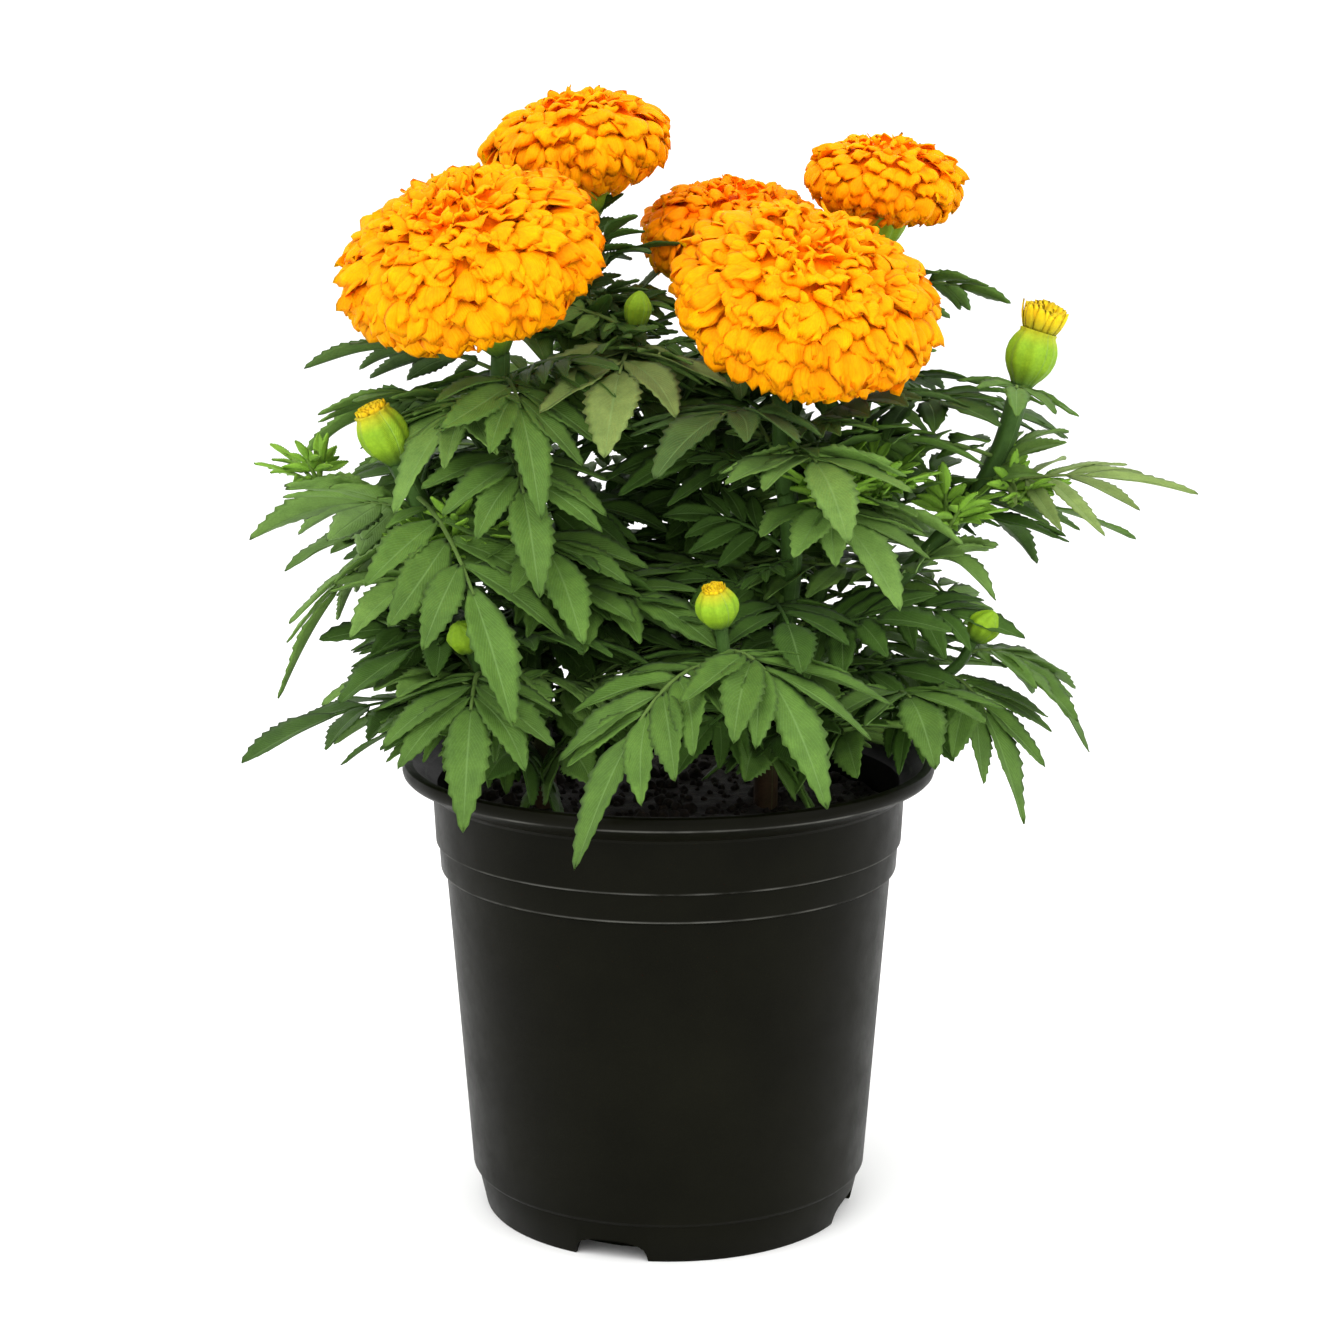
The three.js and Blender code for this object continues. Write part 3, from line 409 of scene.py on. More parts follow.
def leaf_frame(base, tip, arch, roll):
    """A leaf's place, heading, sideways and facing for shares of its length."""
    bend = (base + tip) / 2 + UP * arch
    heading = unit((tip - base) * [1, 1, 0])
    flat = np.cross(heading, UP)
    angle = radians(roll)

    def place(u):
        u = np.asarray(u, float)[..., None]
        return (1 - u) ** 2 * base + 2 * u * (1 - u) * bend + u * u * tip

    def direction(u):
        u = np.asarray(u, float)[..., None]
        return unit((bend - base) * (1 - u) + (tip - bend) * u)

    def sideways(u):
        way = direction(u)
        turned = flat * cos(angle) + np.cross(way, flat) * sin(angle)
        return turned + way * (way @ flat)[..., None] * (1 - cos(angle))

    def face(u):
        return unit(np.cross(sideways(u), direction(u)))
    return place, direction, sideways, face


def leaf_parts(base, tip, arch, length):
    """Shares of a leaf's length: where its rib ends and its pairs start, and how wide their foot is."""
    distance = np.linalg.norm(tip - base)
    span = distance * (1 + (arch / distance) ** 2)
    end = 1 - length * RACHIS.short / span
    return end, end * RACHIS.first, LEAFLET.base / span


def rule_points(base, tip):
    """Points of a rule leaf as coarse as in the solids, to see whether anything is in its way."""
    scale = min(1.0, np.linalg.norm(tip - base) / 60)
    arch = RULE.arch * scale
    place, direction, sideways, face = leaf_frame(base, tip, arch, 0)
    length, width = RULE.blade[0] * scale, RULE.blade[1] * scale
    end, first, foot = leaf_parts(base, tip, arch, length)
    pairs, points = 3, []

    def ring(u):
        shrink = 1 - (1 - RACHIS.taper) * (u / end)
        w, h = RACHIS.half_width * shrink, RACHIS.half_height * shrink
        for a, b in ((-w, h), (w, h), (w, -h), (-w, -h)):
            points.append(place(u) + sideways(u) * a + face(u) * b)

    def blade(at, across, half_width, down):
        middle, half = at(0.46), across * half_width
        points.extend([middle - half, middle + half, middle + down * 1.15, at(1)])

    ring(0)
    ring(first * 0.5)
    for i in range(pairs):
        u = first + (end - first) * i / pairs
        ring(u)
        ring(u + foot)
        angle, size = leaflet_set(i, pairs)
        for side in (1, -1):
            centre_u = u + foot / 2
            way = direction(centre_u) * cos(angle) + sideways(centre_u) * side * sin(angle)
            start = place(centre_u) + sideways(centre_u) * side * RACHIS.half_width
            long = length * size
            blade(lambda s: start + way * long * s - UP * LEAFLET.sag * long * s * s,
                  unit(np.cross(face(centre_u), way)), width * size / 2, -face(u))
    ring(end)
    blade(lambda s: place(end + (1 - end) * s), -sideways(end), width * LEAFLET.last_width, -face(end))
    return np.array(points)


def is_clear(points, plant, clear=CLEAR.divide):
    """Whether the points keep to the plant's own side, above the pot and out of every head."""
    side = -1 if plant == "plant_left" else 1
    fine = side * ((points - DIVIDE.point) @ DIVIDE.normal) > clear
    radius = np.hypot(points[:, 0], points[:, 1])
    beyond = np.maximum(0, radius - POT.rim_radius - CLEAR.rim)
    fine &= points[:, 2] > POT.height + CLEAR.pot - beyond
    for head in BLOOMS.values():
        centre, axis, half = head_frame(head)
        away = points - centre
        height = away @ axis
        flat = np.sqrt(np.maximum(0, (away**2).sum(axis=1) - height**2))
        fine &= np.hypot(flat / (head["radius"] + CLEAR.head), height / (half + CLEAR.head)) > 1
    return fine.all()


def rule_leaves(plant):
    """Leaves in opposite pairs, each pair a quarter turn on, bent clear of what is in their way."""
    seed, rows = LEAF_RULE[plant]
    draw = drawer(seed)
    for stem, start, stop, count, turn in rows:
        for node in range(count):
            share = node / (count - 1)
            base = leaf_base(plant, stem, start + (stop - start) * share)
            for opposite in (0, 180):
                heading = turn + 90 * node + opposite + RULE.turn * next(draw)
                reach = RULE.reach - RULE.shorten * share + RULE.vary * next(draw)
                rise = RULE.rise * next(draw)
                for attempt in range(RULE.tries):
                    swing = RULE.swing * ceil(attempt / 2) * (-1) ** attempt
                    way = level(radians(heading + swing))
                    tip = base + way * reach + UP * (rise - RULE.drop + RULE.climb * attempt)
                    if is_clear(rule_points(base, tip), plant):
                        yield base, tip
                        break


def filling_leaves(plant, rng):
    """More leaves behind the placed ones, so that the bush is as dense as a real one."""
    for rule in FILLING:
        stems = [name for name in rule.stems if name in STEMS[plant]]
        made = 0
        for i in range(BUSH.tries):
            along = rule.start + (0.95 - rule.start) * rng.random()
            base = leaf_base(plant, stems[i % len(stems)], along)
            angle = i * GOLDEN_ANGLE + 0.5 * rng.uniform(-1, 1)
            reach = rule.reach[0] + rule.reach[1] * rng.random()
            tip = base + reach * level(angle) + UP * rng.uniform(-0.3, 0.35) * reach
            inside = BUSH.left < tip[0] < BUSH.right and BUSH.front < tip[1] < BUSH.back
            inside = inside and tip[2] < rule.top and base[2] > POT.height - 6
            if inside and is_clear(rule_points(base, tip), plant, BUSH.clear):
                made += 1
                yield base, tip, reach
            if made == rule.count:
                break


# ---- leaves
class Grid:
    """The rows and columns of a leaflet's blade, its outline and where its teeth are."""

    def __init__(self, teeth, across, start=(0, 0.08, 0.17, 0.26)):
        self.s = np.hstack([start, np.linspace(0.34, 0.94, 2 * teeth), 1])
        places = [0, 0.1, 0.22, 0.4, 0.58, 0.74, 0.88, 0.96, 1]
        self.width = np.interp(self.s, places, [0.16, 0.42, 0.78, 1, 0.93, 0.68, 0.38, 0.16, 0.01])
        self.tooth = np.hstack([np.zeros(len(start)), np.tile([-1.0, 1.0], teeth), 0])
        self.across = np.array(across)


FINE = Grid(7, (-1, -0.66, -0.3, 0, 0.3, 0.66, 1))
PLAIN = Grid(4, (-1, -0.5, 0, 0.5, 1), (0, 0.18))


def leaflet_set(i, pairs):
    """A leaflet's angle to the rib, and its size as a share of the largest one's."""
    angle = LEAFLET.steepest + (LEAFLET.flattest - LEAFLET.steepest) * i / max(1, pairs - 1)
    return radians(angle), 0.7 + 0.3 * sin(pi * (i + 0.7) / (pairs + 0.2))


def leaflet(heap, grade, centre, across, face, half_width, tint, rng):
    """A lance-shaped, toothed leaflet along `centre`, one point for each row of its grid."""
    s, v, tooth = grade.s[:, None], grade.across[None, :], grade.tooth[:, None]
    length = np.linalg.norm(centre[-1] - centre[0])
    along = unit(np.gradient(centre, axis=0))
    half = half_width * grade.width[:, None] * (1 + 0.075 * tooth * (np.abs(v) > 0.9))
    fold = rng.uniform(0.12, 0.34)
    wave = rng.uniform(0.03, 0.075) * half_width
    wave = wave * np.sin(s * rng.uniform(9, 15) + v * 1.6 + rng.uniform(0, 6))
    lift = half * np.abs(v) * fold + wave * np.abs(v) - 0.25 * (v == 0)
    twist = rng.uniform(-0.35, 0.35) * s
    forward = 0.022 * length * (tooth > 0) * (np.abs(v) > 0.9)
    side = half * v
    grid = (
        centre[:, None]
        + across[:, None] * (side * np.cos(twist))[..., None]
        + face[:, None] * (lift + side * np.sin(twist))[..., None]
        + along[:, None] * forward[..., None]
    )
    sheet(heap, grid, LEAFLET.thick, s, v, tint * (1 + 0.14 * rng.uniform(-1, 1)))


def leaf(heap, base, tip, arch, pairs, blade, roll, tone, rng, grade=FINE):
    """A pinnate leaf: a flat rib, pairs of leaflets, a little pair near the stem and one at the end."""
    length, width = blade
    place, direction, sideways, face = leaf_frame(base, tip, arch, roll)
    end, first, foot = leaf_parts(base, tip, arch, length)
    tint = GREENS[tone]
    u = np.linspace(0, end + 0.02, 14 if grade is FINE else 7)
    radii = RACHIS.half_width * (1 - (1 - RACHIS.taper) * u / end)
    rib = 0.5 * tint + 0.5 * GREENS["stem" if tone == "shaded" else "rib"]
    tube(heap, place(u), radii, rib, 8, 0, 1, face(u), 0.75)
    rows = [(first + (end - first) * i / pairs + foot / 2, *leaflet_set(i, pairs)) for i in range(pairs)]
    rows.append((first * 0.62, radians(68), 0.42))
    s = grade.s[:, None]
    for centre_u, angle, size in rows:
        for side in (1, -1):
            sideway, forward, up = sideways(centre_u), direction(centre_u), face(centre_u)
            turn = angle + radians(rng.uniform(-9, 9))
            tilt = radians(rng.uniform(-16, 16))
            up = unit(up * cos(tilt) + forward * sin(tilt))
            way = forward * cos(turn) + sideway * side * sin(turn)
            long = length * size * rng.uniform(0.9, 1.08)
            start = place(centre_u) + sideway * side * RACHIS.half_width * 0.6
            bow = rng.uniform(-0.05, 0.05) * long * np.sin(pi * s)
            sag = UP * LEAFLET.sag * long * s * s
            centre = start + way * long * s - sag + np.cross(up, way) * bow
            across = unit(np.cross(way, up))
            leaflet(heap, grade, centre, across[None], up[None], width * size / 2, tint, rng)
    u = end + (1 - end) * grade.s
    leaflet(heap, grade, place(u), sideways(u), face(u), width * LEAFLET.last_width, tint, rng)


def tuft(heap, centre, axis, size, count, tone, rng):
    """Young leaves that unfold at a shoot's tip."""
    for i in range(count):
        way = unit(spoke(axis, i * GOLDEN_ANGLE) * rng.uniform(0.5, 1.1) + axis)
        tip = centre + way * size * rng.uniform(0.8, 1.15)
        leaf(heap, centre, tip, size * 0.12, 2, (size * 0.5, size * 0.16), 0, tone, rng)


# ---- stems, cups and buds
# Each outline is pairs of a share of the length and a share of the radius.
CUP = [(1, 0.62), (0.8, 0.62), (0.6, 0.74), (0.4, 0.9), (0.2, 1.0), (0, 0.97)]
OPEN_BUD = [
    (0, 0.42), (0.1, 0.56), (0.22, 0.76), (0.36, 0.92), (0.52, 1), (0.68, 0.98), (0.82, 0.87), (0.93, 0.72)]
SHUT_BUD = [
    (0, 0.45), (0.12, 0.66), (0.28, 0.86), (0.44, 0.97), (0.58, 1), (0.72, 0.88), (0.85, 0.64),
    (0.94, 0.4), (1, 0.16)]
# Stems that start below `foot` turn woody from `fade` down, over a height of `over`.
WOODY = Values(foot=100, fade=168, over=30)
FLORET = Values(thick=0.25, low=np.array([0.3, 0.3, 0.02]), high=np.array([0.85, 0.5, 0.012]))


def make_stem(heap, stem, rng):
    route, (thick, thin), head = stem
    t = np.linspace(0, 1, 40)
    centres = curve(stem_route(stem), t)
    radii = thick + (thin - thick) * t
    tints = GREENS["stem"] * (1 + 0.12 * rng.uniform(-1, 1))
    if centres[0][2] < WOODY.foot:
        woody = np.clip((WOODY.fade - centres[:, 2]) / WOODY.over, 0, 1)[:, None]
        tints = tints * (1 - woody) + GREENS["woody"] * woody
    tube(heap, centres, radii, tints, 18, 0.06, 6)
    if head in BLOOMS:
        bloom = BLOOMS[head]
        centre, axis, half = head_frame(bloom)
        radius, length, top = 4.4 + bloom["radius"] * 0.14, cup_length(bloom), SEAT * half + GAP
        rows = [(centre - axis * (top + length * below), radius * share) for below, share in CUP]
        rows[0] = (rows[0][0], thin * 1.02)
        rows[1] = (rows[1][0], max(thin * 1.25, radius * 0.5))
        case(heap, rows, 10)
    elif head in BUDS:
        bud = BUDS[head]
        tip, axis = bud_frame(bud, route)
        rim = bud.get("rim", 0)
        shape = SHUT_BUD
        if bud["mouth"]:
            shape = [(share, max(width, rim * share)) for share, width in OPEN_BUD] + [(1, rim)]
        length, radius = bud["length"], bud["radius"]
        rows = [(tip + axis * length * (share - 1), radius * width) for share, width in shape]
        rows[0] = (rows[0][0], thin)
        case(heap, rows, 8, bud.get("blush", 0))


def case(heap, rows, ribbing, blush=0):
    """A green case of joined bracts, ribbed where they meet, whose rim may turn yellow."""
    share = np.linspace(0, len(rows) - 1, 3 * len(rows))
    centres = curve([point for point, _ in rows], share / (len(rows) - 1))
    radii = np.interp(share, np.arange(len(rows)), [radius for _, radius in rows])
    blend = np.clip(share / 3, 0, 1)[:, None]
    tints = GREENS["stem"] * (1 - blend) + GREENS["case"] * blend
    yellow = blush * np.clip(share / (len(rows) - 1) * 3 - 2, 0, 1)[:, None]
    tints = tints * (1 - yellow) + GREENS["blush"] * yellow
    tube(heap, centres, radii, tints, 48, 0.07, ribbing)


def florets(stem):
    """The fringe of young petals in a bud's mouth."""
    route, _, head = stem
    bud = BUDS[head]
    rng = np.random.default_rng(40 + len(head))
    tip, axis = bud_frame(bud, route)
    heap = Heap()
    count = int(16 + 14 * bud["mouth"])
    spread = bud["rim"] * bud["radius"] / bud["mouth"]
    t, v = np.linspace(0, 1, 6)[:, None], np.array([-1, -0.4, 0.4, 1])
    for i in range(count):
        share = sqrt((i + 0.5) / count)
        out = spoke(axis, i * GOLDEN_ANGLE)
        around = np.cross(axis, out)
        height = bud["tuft"] * (0.62 + 0.36 * rng.random()) * (1.05 - 0.25 * share)
        foot = tip + out * bud["mouth"] * share * 0.92 * spread - axis * 0.6
        end = foot + axis * (height + 0.8) + out * (bud["flare"] * share * height)
        centre = foot + (end - foot) * t + out * (0.08 * height * np.sin(pi * t))
        half = bud["mouth"] * 0.34 * (0.7 + 0.3 * np.sin(pi * np.clip(t * 1.1, 0, 1)))
        grid = centre[:, None] + around * (half * v)[..., None] - out * (0.35 * half * v**2)[..., None]
        yellow = FLORET.high + [0, 0.1 * rng.random(), 0]
        tints = FLORET.low + (yellow - FLORET.low) * np.clip(t * 1.5, 0, 1)[..., None]
        sheet(heap, grid, FLORET.thick, t, v, tints)
    return heap


# ---- flower heads
PETAL_T = np.linspace(0, 1, 9)[:, None]
PETAL_V = np.linspace(-1, 1, 9)[None, :]


def petal(heap, head, turn, fall, width, rng, loose=0.3):
    """A ruffled petal: out of the heart, then folding over along the head's surface."""
    centre, axis, half = head_frame(head)
    outward = spoke(axis, turn)
    swing = rng.uniform(-1, 1) * max(loose, 2.6 - 3.6 * fall)
    around = np.cross(axis, outward)
    reach = outward * head["radius"] * sin(fall) + axis * half * cos(fall)
    downhill = unit(outward * head["radius"] * cos(fall) - axis * half * sin(fall))
    c, s = cos(swing), sin(swing)
    downhill, around = downhill * c + around * s, around * c - downhill * s
    t, v = PETAL_T, PETAL_V
    # Near the head's middle the petals stand up, and towards its rim they fold over.
    over = np.clip(fall / radians(42), 0.3, 1)
    stand = rng.uniform(0.94, 1.0)
    p0 = centre + reach * 0.74 - downhill * 0.1 * width * over
    p1 = centre + reach * (stand + 0.07) - downhill * (0.12 + 0.1 * over) * width
    p2 = centre + reach * (stand - 0.03 * over) + downhill * width * over * rng.uniform(0.42, 0.66)
    line = (1 - t) ** 2 * p0 + 2 * t * (1 - t) * p1 + t * t * p2
    tangent = unit(2 * (1 - t) * (p1 - p0) + 2 * t * (p2 - p1))
    normal = unit(np.cross(tangent, around))
    half_width = width / 2 * np.interp(t, [0, 0.3, 0.6, 0.85, 1], [0.3, 0.55, 0.92, 1.0, 0.84])
    phase, waves = rng.uniform(0, 2 * pi), rng.uniform(1.0, 1.9)
    ruffle = 0.12 * width * t**1.3 * np.sin(waves * pi * v + phase)
    ruffle = ruffle + 0.02 * width * t**2 * np.sin(2.7 * waves * pi * v + 2 * phase)
    cup = rng.uniform(-0.3, 0.12) * width * v**2 * (0.3 + 0.7 * t)
    rim = t**3 * width * (0.05 * np.cos(3.2 * pi * v + 0.6 * phase) - 0.26 * v**2)
    lean = rng.uniform(-0.25, 0.25) * t * width
    grid = (
        line[:, None]
        + around * (half_width * v + lean)[..., None]
        + normal[:, None] * (ruffle + cup)[..., None]
        + tangent[:, None] * rim[..., None]
    )
    # Painted light in the tints: the root is deeper, partly own colour and partly painted shade among the
    # petals, and the outer part gets a painted highlight.
    shade = np.clip((t - 0.04) / 0.3, 0, 1)
    edge_highlight = np.clip((t - 0.5) / 0.45, 0, 1) * (0.75 + 0.25 * rng.random())
    tints = ROOT_TONE_AND_SHADE + (WARM - ROOT_TONE_AND_SHADE) * shade[..., None] + (LIT_EDGE - WARM) * edge_highlight[..., None]
    tints = tints * [1, head.get("yellow", 1) * (0.9 + 0.2 * rng.random()), 1]
    sheet(heap, grid, HEAD.thick, t, v, tints)


def make_bloom(name, material):
    """Rows of petals in a golden spiral over the head, a crown of small ones and a plain core."""
    head = BLOOMS[name]
    spread, flat = head.get("fit", (1, 1))
    head = dict(head, radius=head["radius"] * spread, height=head["height"] * flat)
    rng = np.random.default_rng(head["seed"])
    heap = Heap()
    top, bottom = cos(radians(HEAD.top)), cos(radians(HEAD.bottom))
    for i in range(head["petals"]):
        share = (i + 0.5) / head["petals"]
        fall = acos(top + (bottom - top) * share) + 0.06 * rng.uniform(-1, 1)
        turn = i * GOLDEN_ANGLE + 0.15 * rng.uniform(-1, 1)
        share = HEAD.width + HEAD.wider * sin(fall)
        width = head["radius"] * share * head.get("wide", 1) * rng.uniform(*HEAD.vary)
        petal(heap, head, turn, fall, width, rng)
    # Small petals crowd the middle and fold every way.
    crown = head["petals"] // HEAD.crown_part
    for i in range(crown):
        fall = radians(HEAD.crown) * sqrt((i + 0.5) / crown)
        width = head["radius"] * rng.uniform(*HEAD.crown_width)
        petal(heap, head, i * GOLDEN_ANGLE + 1.0, fall, width, rng, pi)
    centre, axis, half = head_frame(head)
    fall = np.radians(np.linspace(4, 176, 16))
    centres = centre - axis * half * HEAD.core * np.cos(fall)[:, None]
    tube(heap, centres, head["radius"] * HEAD.core * np.sin(fall), WARM, 24)
    heap.piece(name + "_petals", material, "petal_orange", [name])


# ---- materials
class Look:
    """A material's nodes, made and joined by short calls."""

    def __init__(self, name, roughness):
        self.material = bpy.data.materials.new(name)
        self.material.use_nodes = True
        self.tree = self.material.node_tree
        self.shader = self.tree.nodes["Principled BSDF"]
        self.shader.inputs["Roughness"].default_value = roughness

    def node(self, kind, **inputs):
        node = self.tree.nodes.new("ShaderNode" + kind)
        self.fill(node, **inputs)
        return node

    def fill(self, node, **inputs):
        for name, value in inputs.items():
            self.set(node, name.replace("_", " "), value)

    def set(self, node, name, value):
        socket = node.inputs[name]
        if isinstance(value, bpy.types.NodeSocket):
            self.tree.links.new(value, socket)
        else:
            socket.default_value = value

    def math(self, operation, a, b=0.0, clamp=False):
        node = self.node("Math")
        node.operation = operation
        node.use_clamp = clamp
        self.set(node, 0, a)
        self.set(node, 1, b)
        return node.outputs[0]

    def times(self, a, b):
        return self.math("MULTIPLY", a, b)

    def place(self):
        return self.node("TexCoord").outputs["Object"]

    def blade(self):
        """Places along and across a blade, each from 0 to 1."""
        uv = self.node("SeparateXYZ", Vector=self.node("UVMap").outputs["UV"])
        return uv.outputs["X"], uv.outputs["Y"]

    def tint(self):
        node = self.node("Attribute")
        node.attribute_name = "tint"
        return node.outputs["Color"]

    def noise(self, scale, detail=4.0, roughness=0.55):
        noise = self.node(
            "TexNoise", Vector=self.place(), Scale=scale, Detail=detail, Roughness=roughness)
        return noise.outputs["Fac"]

    def ramp(self, value, *stops):
        node = self.node("ValToRGB", Fac=value)
        elements = node.color_ramp.elements
        while len(elements) < len(stops):
            elements.new(0.5)
        for element, (place, colour) in zip(elements, stops):
            element.position = place
            element.color = (*colour, 1)
        return node.outputs["Color"]

    def blend(self, mode, share, a, b):
        # A mix node's colour sockets are inputs 6 and 7 and output 2.
        node = self.node("Mix")
        node.data_type = "RGBA"
        node.blend_type = mode
        for i, value in ((0, share), (6, a), (7, b)):
            self.set(node, i, value)
        return node.outputs[2]

    def bump(self, height, strength, distance):
        node = self.node("Bump", Height=height, Strength=strength, Distance=distance)
        self.set(self.shader, "Normal", node.outputs["Normal"])

    def colour(self, value):
        self.set(self.shader, "Base Color", value)


def leaf_look():
    """Green of each leaf's tone, painted sunlight for some leaves and painted shade for others, with a paler
    midrib, slanting veins and fine mottling.
    """
    look = Look("marigold_leaf", 0.6)
    along, across = look.blade()
    away = look.math("ABSOLUTE", look.math("SUBTRACT", across, 0.5))
    rib = look.math("SUBTRACT", 1.0, look.times(away, 26.0), clamp=True)
    slant = look.math("SUBTRACT", look.times(along, 62.0), look.times(away, 46.0))
    veins = look.math("POWER", look.math("ABSOLUTE", look.math("SINE", slant)), 14.0)
    veins = look.times(veins, look.math("SUBTRACT", 0.9, away))
    lines = look.math("MAXIMUM", rib, look.times(veins, 0.45))
    patches = look.ramp(look.noise(160), (0.3, (0.78, 0.8, 0.74)), (0.7, (1.18, 1.14, 1.1)))
    mottle = look.ramp(look.noise(1400, 2), (0.3, (0.9,) * 3), (0.7, (1.1,) * 3))
    colour = look.blend("MULTIPLY", 1.0, look.blend("MULTIPLY", 1.0, look.tint(), patches), mottle)
    look.colour(look.blend("MIX", look.times(lines, 0.34), colour, (0.22, 0.36, 0.12, 1)))
    sunk, fine = look.times(lines, -0.8), look.times(look.noise(900, 3), 0.5)
    look.bump(look.math("ADD", sunk, fine), 0.45, 0.0006)
    look.fill(look.shader, Specular_IOR_Level=0.15, Sheen_Weight=0.02)
    return look.material


def petal_look(name):
    """The petals' tones, which on the flower heads carry partly painted shade at the roots and a painted
    highlight at the edges, finely lined along, with a little light let through.
    """
    look = Look(name, 0.6)
    fine = look.math("ABSOLUTE", look.math("SINE", look.times(look.blade()[1], 46.0)))
    grain = look.ramp(look.noise(420), (0.3, (0.9, 0.84, 0.8)), (0.7, (1.08, 1.1, 1.1)))
    look.colour(look.blend("MULTIPLY", 1.0, look.tint(), grain))
    look.bump(look.math("ADD", look.times(fine, 0.5), look.noise(700, 3)), 0.35, 0.0005)
    look.fill(look.shader, Subsurface_Weight=0.3, Subsurface_Radius=(0.003, 0.002, 0.0004),
              Subsurface_Scale=1.0, Specular_IOR_Level=0.05)
    return look.material


def pot_look():
    look = Look("pot_plastic", 0.4)
    broad, fine = look.noise(26, 5), look.noise(2600, 3)
    base = look.ramp(broad, (0.3, (0.0025, 0.0025, 0.001)), (0.75, (0.005, 0.005, 0.0024)))
    # Painted highlight: a thin, broken, paler line painted along the lip's and the steps' edges, where they
    # would catch the light.
    height = look.node("SeparateXYZ", Vector=look.place()).outputs["Z"]
    painted_highlight = 0.0
    for z in (POT.height - POT.lip_depth + 0.6, POT.band_z, POT.step_z):
        away = look.math("ABSOLUTE", look.math("SUBTRACT", height, z * MM))
        line = look.math("SUBTRACT", 1.0, look.times(away, 1 / (0.5 * MM)), clamp=True)
        painted_highlight = look.math("MAXIMUM", painted_highlight, line)
    patchy = look.ramp(look.noise(60, 3), (0.36, (0.1,) * 3), (0.62, (1.0,) * 3))
    look.colour(look.blend("MIX", look.times(painted_highlight, patchy), base, (0.085, 0.085, 0.075, 1)))
    scuffs = look.ramp(look.noise(90, 8, 0.7), (0.35, (0.36,) * 3), (0.75, (0.5,) * 3))
    look.fill(look.shader, Roughness=scuffs, Specular_IOR_Level=0.04)
    look.bump(look.math("ADD", fine, look.times(broad, 0.6)), 0.12, 0.0004)
    return look.material


def soil_look():
    look = Look("potting_soil", 0.95)
    grain = look.noise(520, 9, 0.7)
    look.colour(look.ramp(
        grain, (0.3, (0.005, 0.003, 0.002)), (0.55, (0.018, 0.011, 0.006)), (0.8, (0.07, 0.043, 0.024))))
    look.bump(grain, 0.9, 0.0018)
    return look.material


def floor_look():
    look = Look("studio_floor", 0.7)
    look.colour(look.ramp(look.noise(3), (0.3, (0.93, 0.93, 0.92)), (0.7, (0.96, 0.96, 0.955))))
    return look.material


# ---- pot and potting mix
def pot_profile():
    """Radius and height round the wall, from the base's middle up over the rim and back inside."""
    rim, neck, band, step = POT.rim_radius, POT.neck_radius, POT.band_radius, POT.step_radius
    low, heel, foot, disc = POT.low_radius, POT.heel_radius, POT.foot_radius, POT.disc_radius
    neck_z, band_z, step_z, low_z = POT.neck_z, POT.band_z, POT.step_z, POT.low_z
    top, channel, wall = POT.height, POT.channel_height, POT.wall
    narrow, floor, high_floor = step - POT.step_in, POT.floor, channel + POT.floor
    return [
        (0, 0), (disc, 0), (disc + 1.5, channel), (foot - 3.5, channel), (foot - 2, 0), (foot - 0.4, 0),
        (foot, 0.5), (heel, low_z - 1.2), (low - 0.3, low_z - 0.2), (low, low_z + 0.4),
        (narrow, step_z - 1.0), (step - 0.2, step_z - 0.1), (step, step_z + 0.5),
        (band - 0.6, band_z - 0.5), (band + 0.3, band_z), (band + 0.35, band_z + 0.5),
        (neck - 0.1, neck_z - 1), (neck + 0.5, neck_z), (rim - 1.2, top - POT.lip_depth),
        (rim - 0.35, top - 3.6), (rim, top - 2.4), (rim - 0.1, top - 1.2), (rim - 0.6, top - 0.35),
        (rim - 1.5, top), (rim - 3.2, top - 0.1), (rim - 4.6, top - 1.4), (neck - wall, neck_z + wall),
        (band - wall, band_z), (step - wall, step_z + wall), (narrow - wall, step_z),
        (low - wall, low_z + wall / 2), (heel - wall, low_z - 1 + wall / 2), (foot - wall, high_floor),
        (disc, high_floor), (disc - 1.5, floor), (0, floor),
    ]


def turned(heap, profile, sides, raise_by=None):
    """A closed body turned about +Z from a profile that starts and ends on the axis."""
    radius, z = np.array(profile[1:-1]).T
    angles = 2 * pi * np.arange(sides) / sides
    x, y = radius[:, None] * np.cos(angles), radius[:, None] * np.sin(angles)
    rings = np.stack(np.broadcast_arrays(x, y, z[:, None]), axis=-1)
    if raise_by is not None:
        rings[..., 2] += raise_by(rings)
    points = np.vstack([rings.reshape(-1, 3), (0, 0, profile[0][1]), (0, 0, profile[-1][1])])
    heap.add(points, ringed(len(z), sides), np.zeros((len(points), 2)), (1, 1, 1))


